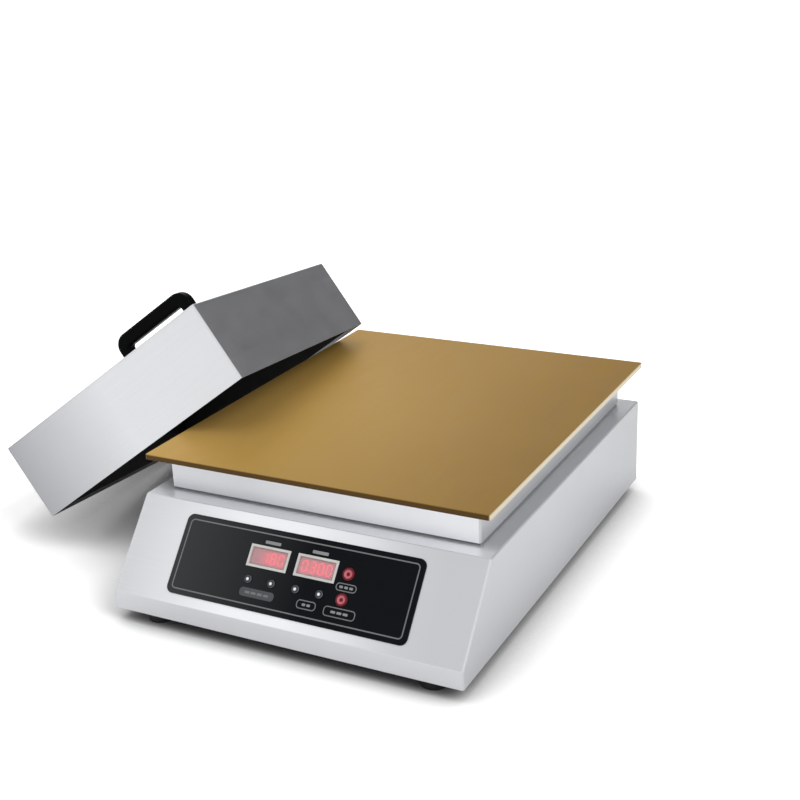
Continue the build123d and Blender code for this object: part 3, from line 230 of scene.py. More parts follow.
def bump(tree, shader, height, distance, strength):
    node = add(tree, "ShaderNodeBump")
    node.inputs["Distance"].default_value = distance
    node.inputs["Strength"].default_value = strength
    tree.links.new(height, node.inputs["Height"])
    tree.links.new(node.outputs["Normal"], shader.inputs["Normal"])


def lighter(colour, factor):
    return tuple(min(1.0, c * factor) for c in colour)


def mottled(tree, factor, colour, dark, light):
    """A colour that varies between a darker and a lighter shade of itself."""
    shades = lighter(colour, dark), lighter(colour, light)
    return two_colours(tree, spread(tree, factor, 0.0, 1.0), *shades)


def in_directions(tree, directions):
    """Coordinates along three directions, for a piece that stands aslant."""
    source = object_coordinates(tree)
    combine = add(tree, "ShaderNodeCombineXYZ")
    for axis, direction in zip("XYZ", directions):
        tree.links.new(vector_node(tree, "DOT_PRODUCT", source, direction), combine.inputs[axis])
    return combine.outputs["Vector"]


def facing(tree, direction, low=0.5, high=0.9):
    """1 where the surface faces a direction, 0 where it faces away from it."""
    normal = add(tree, "ShaderNodeNewGeometry").outputs["True Normal"]
    return spread(tree, vector_node(tree, "DOT_PRODUCT", normal, direction), 0.0, 1.0, low, high)


def from_slope_middle(tree, direction):
    """Distance from the slope's middle along a direction."""
    offset = vector_node(tree, "SUBTRACT", object_coordinates(tree), SLOPE_MIDDLE)
    return vector_node(tree, "DOT_PRODUCT", offset, direction)


def from_key_axes(tree, key_names):
    """Distance from the axis of the nearest of some keys."""
    nearest = None
    for key_name in key_names:
        low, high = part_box(key_name)
        offset = vector_node(tree, "SUBTRACT", object_coordinates(tree), (low + high) / 2)
        sideways = vector_node(tree, "CROSS_PRODUCT", offset, SLOPE_OUT)
        distance = vector_node(tree, "LENGTH", sideways)
        nearest = math_node(tree, "MINIMUM", nearest, distance) if nearest else distance
    return nearest


# Materials

def brushed_sheet(
    name, colour, roughness, axes=(RIGHT, BACK, UP), metallic=0.9, grain=0.5, shading=None
):
    """Stainless sheet with a fine grain that runs along each face's long way."""
    material, tree, shader = new_material(name)
    across = axes[0]
    source = in_directions(tree, axes)
    lengthwise = noise(tree, stretched(tree, (14, 900, 900), source), 1.0, 4.0, 0.6)
    sideways = noise(tree, stretched(tree, (900, 14, 900), source), 1.0, 4.0, 0.6)
    side_face = largest(tree, facing(tree, across, 0.6, 0.8), facing(tree, -across, 0.6, 0.8))
    other_face = math_node(tree, "SUBTRACT", 1.0, side_face)
    lines = math_node(
        tree, "ADD", product(tree, lengthwise, other_face), product(tree, sideways, side_face)
    )
    cloud = noise(tree, stretched(tree, (3.5, 3.5, 3.5), source), 1.0, 2.0, 0.5)
    smudge = noise(tree, stretched(tree, (22, 22, 22), source), 1.0, 5.0, 0.6)
    tone = mottled(tree, lines, colour, 1 - 0.05 * grain, 1 + 0.05 * grain)
    tone = two_colours(tree, spread(tree, cloud, 0.0, 0.35), tone, lighter(colour, 0.94))
    # painted light and shade over the steel's own tone, where given
    if shading:
        tone = shading(tree, tone)
    tree.links.new(tone, shader.inputs["Base Color"])
    in_lines = spread(tree, lines, roughness - 0.03, roughness + 0.03)
    rough = math_node(tree, "ADD", in_lines, spread(tree, smudge, -0.02, 0.04))
    tree.links.new(rough, shader.inputs["Roughness"])
    shader.inputs["Metallic"].default_value = metallic
    bump(tree, shader, lines, 0.00001, 0.25 * grain)
    return material


def painted_body_light(tree, tone):
    """Painted highlight and painted shade on the body's sheet, laid into its colour.

    Painted highlights: the slope over its middle, the upright fronts towards the right, and the deck
    in front. Painted shade: the slope's right end, the deck beside the frame and the right side's back.
    """
    across = from_slope_middle(tree, RIGHT)
    depth, height = coordinate(tree, "Y"), coordinate(tree, "Z")
    on_slope = facing(tree, SLOPE_OUT, 0.90, 0.98)
    on_deck, upright, on_side = (facing(tree, face, 0.95, 0.99) for face in (UP, FRONT, RIGHT))
    in_front = spread(tree, depth, 1.0, 0.0, FRONT_Y + 0.085, FRONT_Y + 0.105)
    over_middle = hill(tree, across, -0.20, -0.07, 0.0, 0.14)
    to_right = spread(tree, across, 0.0, 1.0, -0.10, 0.16)
    above_lip = spread(tree, height, 0.4, 1.0, LIP_TOP, 0.12)
    # painted highlight on the slope's middle, the upright fronts and the deck's front
    bright = largest(
        tree,
        product(tree, over_middle, on_slope),
        product(tree, to_right, upright, above_lip),
        product(tree, on_deck, in_front),
    )
    slope_end = spread(tree, across, 0.0, 1.0, 0.08, 0.17)
    beside_frame = spread(tree, across, 0.0, 1.0, 0.185, 0.192)
    to_back = spread(tree, depth, 0.0, 1.0, -0.05, 0.25)
    # painted shade on the slope's right end, the deck beside the frame and the side's back
    dull = largest(
        tree,
        product(tree, slope_end, on_slope),
        product(tree, on_deck, beside_frame, math_node(tree, "SUBTRACT", 1.0, in_front)),
        product(tree, to_back, on_side),
    )
    return two_colours(tree, dull, two_colours(tree, bright, tone, STEEL_PAINTED_HIGHLIGHT), STEEL_PAINTED_SHADE)


def painted_lid_shade(tree, tone):
    """Painted shade on the lid: its high end face is a little darker, and its low end more so."""
    low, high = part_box("lid_shell")
    centre = ((low + high) / 2).dot(LID_ACROSS)
    # painted shade on the face towards the high end
    tone = two_colours(tree, facing(tree, LID_ACROSS, 0.90, 0.98), tone, LID_SIDE_PAINTED_SHADE)
    # painted shade growing towards the low end
    along = vector_node(tree, "DOT_PRODUCT", object_coordinates(tree), LID_ACROSS)
    return two_colours(tree, spread(tree, along, 1.0, 0.0, centre - 0.17, centre), tone, LID_PAINTED_SHADE)


def moulded(name, colour, roughness, coat=0.0, texture=0.00003, scale=1800.0, specular=0.5):
    """Moulded plastic or rubber with a fine skin texture and worn, slightly uneven gloss."""
    material, tree, shader = new_material(name)
    source = object_coordinates(tree)
    skin = noise(tree, source, scale, 3.0, 0.6)
    cloud = noise(tree, source, 30.0, 3.0, 0.5)
    tree.links.new(mottled(tree, cloud, colour, 0.92, 1.10), shader.inputs["Base Color"])
    rough = spread(tree, cloud, roughness - 0.03, roughness + 0.05)
    tree.links.new(rough, shader.inputs["Roughness"])
    shader.inputs["Specular IOR Level"].default_value = specular
    if coat:
        shader.inputs["Coat Weight"].default_value = coat
        shader.inputs["Coat Roughness"].default_value = 0.08
    bump(tree, shader, skin, texture, 0.6)
    return material


def printed(name, colour):
    """Thin screen print."""
    return moulded(name, colour, 0.45, texture=0.00001, scale=3000.0, specular=0.2)


def panel_overlay(name, colour, roughness):
    """Black panel overlay: its sheen fades towards the right end."""
    sheen = (SHEEN_LEFT + SHEEN_RIGHT) / 2
    material = moulded(name, colour, roughness, texture=0.00001, scale=3000.0, specular=sheen)
    tree = material.node_tree
    shader = next(node for node in tree.nodes if node.type == "BSDF_PRINCIPLED")
    low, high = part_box("control_panel")
    fade_end = (low.x + high.x) / 2 + 0.02
    fading = spread(tree, coordinate(tree, "X"), SHEEN_LEFT, SHEEN_RIGHT, low.x, fade_end)
    tree.links.new(fading, shader.inputs["Specular IOR Level"])
    return material


def plain_metal(name, colour, roughness):
    """Cast, turned or plated metal with a fine grain and faint stains."""
    material, tree, shader = new_material(name)
    source = object_coordinates(tree)
    grain = noise(tree, source, 600.0, 4.0, 0.6)
    stain = noise(tree, source, 45.0, 4.0, 0.6)
    tree.links.new(mottled(tree, stain, colour, 0.85, 1.08), shader.inputs["Base Color"])
    rough = spread(tree, stain, roughness - 0.05, roughness + 0.08)
    tree.links.new(rough, shader.inputs["Roughness"])
    shader.inputs["Metallic"].default_value = 1.0
    bump(tree, shader, grain, 0.00002, 0.5)
    return material


def plate_coating(name):
    """Gold brown plate: satin top, painted light at its left where the lid's shadow falls and
    painted shade towards its right and back; a front edge painted darker as shade, side edges
    painted bright as reflection, and a bare underside.
    """
    material, tree, shader = new_material(name)
    source = object_coordinates(tree)
    low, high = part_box("heating_plate")
    fine = noise(tree, source, 900.0, 4.0, 0.65)
    cloud = noise(tree, stretched(tree, (5, 5, 5)), 1.0, 3.0, 0.5)
    rubbed = noise(tree, stretched(tree, (60, 9, 60)), 1.0, 5.0, 0.6)
    painted_light_left = (0.585, 0.360, 0.100)
    middle_colour = (0.445, 0.272, 0.070)
    painted_shade_right = (0.225, 0.125, 0.022)
    painted_shade_back = (0.28, 0.155, 0.022)
    front_edge_painted_shade = (0.10, 0.055, 0.016)
    side_edge_painted_highlight = (0.74, 0.66, 0.50)
    underside = (0.60, 0.60, 0.61)
    # painted light at the left where the lid's shadow falls, painted shade towards the right and the back
    to_middle = spread(tree, coordinate(tree, "X"), 0.0, 1.0, low.x + 0.04, low.x + 0.17)
    to_right = spread(tree, coordinate(tree, "X"), 0.0, 1.0, low.x + 0.17, high.x)
    to_back = spread(tree, coordinate(tree, "Y"), 0.0, 0.60, low.y + 0.20, high.y)
    tone = two_colours(tree, to_middle, painted_light_left, middle_colour)
    tone = two_colours(tree, to_right, tone, painted_shade_right)
    tone = two_colours(tree, to_back, tone, painted_shade_back)
    tone = two_colours(tree, spread(tree, cloud, 0.0, 0.25), tone, lighter(middle_colour, 0.86))
    tone = two_colours(tree, spread(tree, rubbed, 0.0, 0.16), tone, lighter(middle_colour, 1.15))
    # front edge painted darker as shade, side edges painted bright as reflection
    tone = two_colours(tree, facing(tree, FRONT), tone, front_edge_painted_shade)
    at_sides = largest(tree, facing(tree, RIGHT), facing(tree, -RIGHT))
    tone = two_colours(tree, at_sides, tone, side_edge_painted_highlight)
    tone = two_colours(tree, facing(tree, -UP), tone, underside)
    tree.links.new(tone, shader.inputs["Base Color"])
    worn, grainy = spread(tree, rubbed, 0.40, 0.50), spread(tree, fine, -0.03, 0.03)
    tree.links.new(math_node(tree, "ADD", worn, grainy), shader.inputs["Roughness"])
    shader.inputs["Metallic"].default_value = 0.25
    shader.inputs["Specular IOR Level"].default_value = 0.10
    bump(tree, shader, fine, 0.00004, 0.5)
    return material


def glowing(name, colour, strength):
    """Lit segments."""
    material, tree, shader = new_material(name)
    grain = noise(tree, object_coordinates(tree), 2500.0, 2.0, 0.5)
    tree.links.new(mottled(tree, grain, colour, 0.94, 1.05), shader.inputs["Base Color"])
    shader.inputs["Emission Color"].default_value = (*colour, 1.0)
    shader.inputs["Emission Strength"].default_value = strength
    shader.inputs["Roughness"].default_value = 0.35
    return material


def clear_window(name, colour, alpha):
    """Thin tinted window with a faint haze."""
    material, tree, shader = new_material(name)
    haze = noise(tree, object_coordinates(tree), 120.0, 3.0, 0.5)
    tree.links.new(mottled(tree, haze, colour, 0.96, 1.04), shader.inputs["Base Color"])
    tree.links.new(spread(tree, haze, 0.16, 0.24), shader.inputs["Roughness"])
    shader.inputs["Alpha"].default_value = alpha
    return material


def circuit_board(name):
    """Green laminate with lighter copper areas under its lacquer."""
    material, tree, shader = new_material(name)
    source = object_coordinates(tree)
    tracks = add(tree, "ShaderNodeTexVoronoi", feature="DISTANCE_TO_EDGE")
    tracks.inputs["Scale"].default_value = 260.0
    tree.links.new(source, tracks.inputs["Vector"])
    edge = spread(tree, tracks.outputs["Distance"], 1.0, 0.0, 0.04, 0.10)
    tone = two_colours(tree, edge, (0.02, 0.16, 0.06), (0.05, 0.27, 0.11))
    tree.links.new(tone, shader.inputs["Base Color"])
    cloud = noise(tree, source, 40.0, 2.0, 0.5)
    tree.links.new(spread(tree, cloud, 0.28, 0.40), shader.inputs["Roughness"])
    bump(tree, shader, edge, 0.00005, 0.6)
    return material


def fibre_wool(name, colour):
    """Pressed mineral wool."""
    material, tree, shader = new_material(name)
    source = object_coordinates(tree)
    fibres = noise(tree, stretched(tree, (260, 260, 900)), 1.0, 6.0, 0.7)
    lumps = noise(tree, source, 60.0, 4.0, 0.6)
    tree.links.new(mottled(tree, fibres, colour, 0.80, 1.05), shader.inputs["Base Color"])
    tree.links.new(spread(tree, lumps, 0.85, 0.98), shader.inputs["Roughness"])
    shader.inputs["Sheen Weight"].default_value = 0.3
    bump(tree, shader, fibres, 0.0006, 0.8)
    return material


def red_key(name):
    """Red key caps: dark outer ring, a pink painted highlight ring in the hollow top and a dark middle dot."""
    material, tree, shader = new_material(name)
    nearest = from_key_axes(tree, ("key_start", "key_power"))
    # painted highlight: the pink ring in the hollow top
    painted_dish_highlight = spread(tree, nearest, 1.0, 0.0, *RED_PAINTED_DISH)
    dot = spread(tree, nearest, 1.0, 0.0, *RED_DOT)
    tone = two_colours(tree, painted_dish_highlight, (0.13, 0.006, 0.012), (0.56, 0.14, 0.17))
    tone = two_colours(tree, dot, tone, (0.10, 0.005, 0.010))
    tree.links.new(tone, shader.inputs["Base Color"])
    cloud = noise(tree, object_coordinates(tree), 900.0, 2.0, 0.5)
    tree.links.new(spread(tree, cloud, 0.18, 0.26), shader.inputs["Roughness"])
    shader.inputs["Specular IOR Level"].default_value = 0.25
    bump(tree, shader, cloud, 0.00002, 0.4)
    return material


def silver_key(name):
    """Plated domed key caps with a painted reflection: dark flanks, a painted highlight on top and a thin painted
    bright ring at the edge.
    """
    material, tree, shader = new_material(name)
    keys = ("key_heat_down", "key_heat_up", "key_time_down", "key_time_up")
    nearest = from_key_axes(tree, keys)
    # painted highlight on top and painted bright ring at the edge, over dark flanks of painted reflection
    painted_highlight_spot = spread(tree, nearest, 1.0, 0.0, *SILVER_PAINTED_SPOT)
    painted_rim_highlight = spread(tree, nearest, 0.0, 1.0, *SILVER_PAINTED_RIM)
    tone = two_colours(tree, painted_rim_highlight, (0.045, 0.048, 0.055), (0.17, 0.18, 0.20))
    tone = two_colours(tree, painted_highlight_spot, tone, (0.93, 0.94, 0.96))
    tree.links.new(tone, shader.inputs["Base Color"])
    cloud = noise(tree, object_coordinates(tree), 900.0, 2.0, 0.5)
    tree.links.new(spread(tree, cloud, 0.14, 0.22), shader.inputs["Roughness"])
    shader.inputs["Metallic"].default_value = 1.0
    bump(tree, shader, cloud, 0.00001, 0.3)
    return material


def lit_part(tree):
    """1 on the lit part of the two displays, fading at its edges."""
    across = from_slope_middle(tree, RIGHT)
    height = hill(tree, from_slope_middle(tree, SLOPE_UP), *LIT_RISE)
    either = largest(tree, hill(tree, across, *LIT_FIRST), hill(tree, across, *LIT_SECOND))
    return product(tree, height, either)


def module_face(name):
    """Pale faces of the digit modules, flushed red where the digits are lit."""
    material, tree, shader = new_material(name)
    grain = noise(tree, object_coordinates(tree), 1800.0, 2.0, 0.5)
    speckle = spread(tree, grain, 0.0, 1.0)
    tone = two_colours(tree, speckle, (0.36, 0.31, 0.31), (0.42, 0.36, 0.36))
    lit = lit_part(tree)
    tree.links.new(two_colours(tree, lit, tone, (0.62, 0.17, 0.19)), shader.inputs["Base Color"])
    shader.inputs["Emission Color"].default_value = (0.80, 0.10, 0.13, 1.0)
    tree.links.new(product(tree, lit, GLOW), shader.inputs["Emission Strength"])
    tree.links.new(spread(tree, grain, 0.45, 0.55), shader.inputs["Roughness"])
    return material


# Each material slot's maker, colour and other values
SLOT_LOOKS = {
    "body_steel": (
        brushed_sheet,
        STEEL,
        BODY_ROUGHNESS,
        {"metallic": BODY_METAL, "shading": painted_body_light},
    ),
    "pan_steel": (brushed_sheet, PAN_STEEL, 0.42, {"grain": 0.7}),
    "lid_steel": (
        brushed_sheet,
        STEEL,
        LID_ROUGHNESS,
        {"axes": (LID_ACROSS, LID_ALONG, LID_UP), "shading": painted_lid_shade},
    ),
    "zinc_steel": (plain_metal, (0.62, 0.63, 0.65), 0.30, {}),
    "element_steel": (plain_metal, (0.16, 0.14, 0.125), 0.45, {}),
    "shield_alloy": (plain_metal, (0.70, 0.70, 0.71), 0.28, {}),
    "brass_posts": (plain_metal, (0.62, 0.45, 0.18), 0.28, {}),
    "pin_brass": (plain_metal, (0.68, 0.52, 0.24), 0.25, {}),
    "core_iron": (plain_metal, (0.09, 0.085, 0.08), 0.55, {}),
    "panel_black": (panel_overlay, (0.004, 0.005, 0.0065), 0.32, {}),
    "seal_rubber": (moulded, (0.20, 0.20, 0.21), 0.75, {}),
    "frame_white": (moulded, (0.58, 0.58, 0.55), 0.35, {"coat": 0.3}),
    "switch_black": (moulded, (0.02, 0.02, 0.02), 0.5, {}),
    "moulding_black": (moulded, (0.016, 0.016, 0.018), 0.42, {}),
    "rocker_red": (moulded, (0.42, 0.012, 0.012), 0.25, {"coat": 0.4}),
    "relay_blue": (moulded, (0.02, 0.06, 0.28), 0.35, {}),
    "capacitor_black": (moulded, (0.012, 0.014, 0.03), 0.3, {}),
    "module_white": (moulded, (0.68, 0.67, 0.62), 0.5, {}),
    "lead_red": (moulded, (0.36, 0.03, 0.02), 0.55, {}),
    "lead_brown": (moulded, (0.09, 0.035, 0.015), 0.55, {}),
    "ribbon_grey": (moulded, (0.30, 0.30, 0.31), 0.5, {}),
    "foot_rubber": (moulded, (0.012, 0.012, 0.012), 0.7, {"texture": 0.0001, "scale": 900.0}),
    "liner_black": (moulded, (0.008, 0.008, 0.008), 0.55, {}),
    "handle_black": (moulded, (0.002, 0.0025, 0.0025), 0.28, {"specular": 0.03}),
    "lens_red": (clear_window, (0.75, 0.42, 0.45), 0.35, {}),
    "digit_red": (glowing, (0.85, 0.07, 0.10), 1.1, {}),
    "insulation_wool": (fibre_wool, (0.72, 0.69, 0.58), None, {}),
    "plate_alloy": (plate_coating, None, None, {}),
    "module_black": (module_face, None, None, {}),
    "key_silver": (silver_key, None, None, {}),
    "key_red": (red_key, None, None, {}),
    "board_green": (circuit_board, None, None, {}),
}
looks = {}
for slot, (maker, colour, amount, settings) in SLOT_LOOKS.items():
    given = [value for value in (colour, amount) if value is not None]
    looks[slot] = maker(slot + "_look", *given, **settings)
for entry in frame["record"]["subparts"]:
    piece = nodes[entry["node"]]
    piece.data.materials.clear()
    piece.data.materials.append(looks[entry["material_slot"]])

print_grey = printed("print_grey_look", (0.25, 0.26, 0.27))
print_line = printed("print_line_look", (0.17, 0.175, 0.18))
print_dim = printed("print_dim_look", (0.075, 0.08, 0.085))
print_white = printed("print_white_look", (0.75, 0.75, 0.74))


# Mesh helpers

def mesh_piece(name, builder, material, body):
    mesh = bpy.data.meshes.new(name)
    shape = bmesh.new()
    builder(shape)
    bmesh.ops.recalc_face_normals(shape, faces=shape.faces)
    shape.to_mesh(mesh)
    shape.free()
    piece = bpy.data.objects.new(name, mesh)
    scene.collection.objects.link(piece)
    mesh.materials.append(material)
    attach(piece, body)
    return piece


def rounded_outline(x, y, width, height, radius):
    """Points of a rounded rectangle, anticlockwise."""
    steps = 8
    radius = min(radius, width / 2, height / 2)
    points = []
    for quarter, (sx, sy) in enumerate(((1, 1), (-1, 1), (-1, -1), (1, -1))):
        cx = x + sx * (width / 2 - radius)
        cy = y + sy * (height / 2 - radius)
        for step in range(steps + 1):
            angle = math.pi / 2 * (quarter + step / steps)
            points.append((cx + radius * math.cos(angle), cy + radius * math.sin(angle)))
    return points


def placed(shape, outline, out, place):
    """Vertices of an outline in millimetres, set on a face."""
    return [shape.verts.new(place(x / 1000, y / 1000, out / 1000)) for x, y in outline]


def join_loops(shape, first, second):
    count = len(first)
    for k in range(count):
        n = (k + 1) % count
        shape.faces.new((first[k], first[n], second[n], second[k]))


def print_ring(shape, rectangle, line, low, high, place):
    """A closed raised line of some width along the inside of a rounded rectangle."""
    x, y, width, height, radius = rectangle
    outer = rounded_outline(x, y, width, height, radius)
    inner = rounded_outline(x, y, width - 2 * line, height - 2 * line, radius - line)
    levels = ((outer, low), (outer, high), (inner, high), (inner, low))
    loops = [placed(shape, outline, out, place) for outline, out in levels]
    for first, second in zip(loops, loops[1:] + loops[:1]):
        join_loops(shape, first, second)


def print_pad(shape, outline, low, high, place):
    """A closed raised pad."""
    bottom = placed(shape, outline, low, place)
    top = placed(shape, outline, high, place)
    shape.faces.new(top)
    shape.faces.new(bottom[::-1])
    join_loops(shape, bottom, top)


# Prints on the panel, in place of words: millimetres, from the slope's middle
PANEL_FACE = 1.50
PRINT_TOP = PANEL_FACE + 0.08
BAR_TOP = PRINT_TOP + 0.06
BAR_WIDTH = 2.6
BAR_GAP = 1.6
BAR_CORNER = 0.7
# place of the middle, width, height and corner
INSET_LINE = (0, -1.0, 279.0, 78.4, 5.0)
DISPLAY_LABELS = [(x, 28.6, 19.0, 3.4, 0.8) for x in (-32.0, 25.8)]
HEAT_PILL = (-34.5, -27.2, 42.0, 9.4, 4.0)
PILLS = (
    (25.7, -27.2, 23.0, 9.6, 4.0),
    (65.0, -1.2, 24.0, 8.6, 4.0),
    (64.9, -28.0, 37.0, 10.6, 4.0),
)
# length and count of the bars in a pill
HEAT_BARS = (6.0, 4)
PILL_BARS = ((4.0, 2), (4.2, 3), (5.6, 3))
INSET_LINE_WIDTH = 1.4
PILL_LINE_WIDTH = 1.1


def slope_point(x, up, out):
    return SLOPE_MIDDLE + RIGHT * x + SLOPE_UP * up + SLOPE_OUT * out


def bars(shape, pill, length, count, low, high):
    """A row of short bars about a pill's middle."""
    x, y = pill[:2]
    for k in range(count):
        along = x + (k - (count - 1) / 2) * (length + BAR_GAP)
        outline = rounded_outline(along, y, length, BAR_WIDTH, BAR_CORNER)
        print_pad(shape, outline, low, high, slope_point)


def inset_line(shape):
    print_ring(shape, INSET_LINE, INSET_LINE_WIDTH, PANEL_FACE, PRINT_TOP, slope_point)


def pill_rings(shape):
    for pill in PILLS:
        print_ring(shape, pill, PILL_LINE_WIDTH, PANEL_FACE, PRINT_TOP, slope_point)


def label_bars(shape):
    for label in DISPLAY_LABELS:
        print_pad(shape, rounded_outline(*label), PANEL_FACE, PRINT_TOP, slope_point)
    for pill, (length, count) in zip(PILLS, PILL_BARS):
        bars(shape, pill, length, count, PANEL_FACE, PRINT_TOP)


def heat_pill(shape):
    print_pad(shape, rounded_outline(*HEAT_PILL), PANEL_FACE, PRINT_TOP, slope_point)


def heat_bars(shape):
    bars(shape, HEAT_PILL, *HEAT_BARS, PRINT_TOP, BAR_TOP)


mesh_piece("panel_inset_line", inset_line, print_line, "machine")
mesh_piece("panel_pill_rings", pill_rings, print_line, "machine")
mesh_piece("panel_label_bars", label_bars, print_grey, "machine")
mesh_piece("panel_heat_pill", heat_pill, print_dim, "machine")
mesh_piece("panel_heat_bars", heat_bars, print_line, "machine")

# The marks for on and off on the two halves of the rocker, which dips to its middle
ROCKER_PIVOT = Vector(JOINTS["power_rocker_tilt"]["pos_m"])
ROCKER_REST = math.radians(10.0)
ROCKER_OUT = Vector((0, math.cos(ROCKER_REST), -math.sin(ROCKER_REST)))
ROCKER_UP = Vector((0, math.sin(ROCKER_REST), math.cos(ROCKER_REST)))
ROCKER_DIP = 0.0018
ROCKER_HALF = 0.010
ROCKER_SLANT = math.atan2(ROCKER_DIP, ROCKER_HALF)
ROCKER_DEPTH = 0.0015
ROCKER_MIDDLE = ROCKER_PIVOT + ROCKER_OUT * ROCKER_DEPTH
MARK_HEIGHT = 0.06
# place of the middle on its half, width, height and corner, in millimetres
ON_BAR = (0, 5.4, 0.9, 4.4, 0.2)
OFF_RING = (0, 5.4, 4.2, 4.2, 2.1)
OFF_LINE_WIDTH = 0.8


def rocker_point(half):
    """Places on the rocker's upper (1) or lower (-1) half, measured from its middle."""
    along = ROCKER_UP * half * math.cos(ROCKER_SLANT) + ROCKER_OUT * math.sin(ROCKER_SLANT)
    normal = ROCKER_OUT * math.cos(ROCKER_SLANT) - ROCKER_UP * half * math.sin(ROCKER_SLANT)
    return lambda x, y, out: ROCKER_MIDDLE + RIGHT * x + along * y + normal * out


def rocker_marks(shape):
    print_pad(shape, rounded_outline(*ON_BAR), 0.0, MARK_HEIGHT, rocker_point(1))
    print_ring(shape, OFF_RING, OFF_LINE_WIDTH, 0.0, MARK_HEIGHT, rocker_point(-1))


mesh_piece("power_rocker_marks", rocker_marks, print_white, "power_rocker")

# Screws at the back, with a cross recess: the head's radius and height, and where it sits and the
# shank ends behind the origin
SIDE_SCREW = (0.0038, 0.0024, HOUSING_HIGH.y, 0.2603)
INLET_SCREW = (0.0028, 0.0015, 0.2675, 0.2605)
# places from the machine's middle, and heights
SIDE_PLACES = [(side * 0.2025, height) for side in (-1, 1) for height in (0.039, 0.072)]
TOP_PLACES = [(side * 0.110, 0.1155) for side in (-1, 1)]
INLET_PLACES = [(x, 0.064) for x in (-0.150, -0.110)]
REAR_SCREWS = [(*place, *SIDE_SCREW) for place in SIDE_PLACES + TOP_PLACES]
REAR_SCREWS += [(*place, *INLET_SCREW) for place in INLET_PLACES]
# shares of the head's radius
ARM_HALF_WIDTH = 0.14
ARM_REACH = 0.50
DOME_RINGS = (1.0, 0.97, 0.88, 0.76, 0.64)
RECESS_EDGE = 0.45
RECESS_TAPER = 0.7  # of the cross, at its floor
SHANK_RADIUS = 0.5
# shares of the head's height
RECESS_FLOOR = 0.35
HEAD_WALL = 0.45


def cross_angles():
    """Angles round a screw head, with every corner of the cross among them."""
    corner = math.atan2(ARM_HALF_WIDTH, ARM_REACH)
    step = (math.pi / 4 - corner) / 3
    half = [0.0, corner / 2, corner, corner + step, corner + 2 * step]
    quarter = half + [math.pi / 4] + [math.pi / 2 - angle for angle in half[:0:-1]]
    return [angle + k * math.pi / 2 for k in range(4) for angle in quarter]


def cross_reach(angle):
    """Distance from the middle to the outline of the cross, for a head of radius 1."""
    major, minor = sorted((abs(math.cos(angle)), abs(math.sin(angle))), reverse=True)
    return min(ARM_REACH / major, ARM_HALF_WIDTH / max(minor, 1e-9))


def dome(part):
    """Height of the head's skin at a share of its radius."""
    return HEAD_WALL + (1 - HEAD_WALL) * math.sqrt(max(0.0, 1.0 - part * part))


def closed_turning(shape, loops, first, last, smooth=()):
    """Join loops of points into a closed skin with a middle point at each end."""
    rings = [[shape.verts.new(point) for point in loop] for loop in loops]
    count = len(rings[0])
    ends = (shape.verts.new(first), shape.verts.new(last))
    for k in range(count):
        n = (k + 1) % count
        shape.faces.new((ends[0], rings[0][k], rings[0][n]))
        shape.faces.new((ends[1], rings[-1][n], rings[-1][k]))
        for index, (low, high) in enumerate(zip(rings, rings[1:])):
            shape.faces.new((low[k], low[n], high[n], high[k])).smooth = index in smooth


def cross_screws(shape):
    angles = cross_angles()
    for x, height, radius, thickness, seat, end in REAR_SCREWS:
        middle = Vector((MIDDLE_X + x, seat, height))

        def ring(reaches, out):
            spokes = [Vector((math.cos(angle), 0, math.sin(angle))) for angle in angles]
            centre = middle + BACK * out
            return [centre + spoke * radius * reach for spoke, reach in zip(spokes, reaches)]

        def circle(part, out):
            return ring([part] * len(angles), out)

        floor = RECESS_FLOOR * thickness
        loops = [circle(1.0, 0.0)] + [circle(part, thickness * dome(part)) for part in DOME_RINGS]
        cross = [cross_reach(angle) for angle in angles]
        loops.append(ring(cross, thickness * dome(RECESS_EDGE)))
        loops.append(ring([RECESS_TAPER * reach for reach in cross], floor))
        smooth = range(1, len(DOME_RINGS) + 1)
        closed_turning(shape, loops, middle, middle + BACK * floor, smooth)
        shank = [circle(SHANK_RADIUS, out) for out in (0.0, end - seat)]
        closed_turning(shape, shank, middle, middle + BACK * (end - seat))


rear_cross_screws = mesh_piece(
    "rear_cross_screws", cross_screws, looks["zinc_steel"], "machine"
)
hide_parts("rear_screws")


# Floor, world and lamps

def sight_rays(tree):
    """Rays that show a thing straight or through a clear piece, and rays that mirror it."""
    ray = add(tree, "ShaderNodeLightPath")
    straight = largest(tree, ray.outputs["Is Camera Ray"], ray.outputs["Is Transmission Ray"])
    return straight, ray.outputs["Is Glossy Ray"]


def around(tree, direction, inner, outer):
    """1 within an angle of a direction of the room, 0 beyond a wider one."""
    sky = add(tree, "ShaderNodeTexCoord").outputs["Generated"]
    dot = vector_node(tree, "DOT_PRODUCT", sky, Vector(direction).normalized())
    low, high = math.cos(math.radians(outer)), math.cos(math.radians(inner))
    return spread(tree, dot, 0.0, 1.0, low, high, "SMOOTHSTEP")


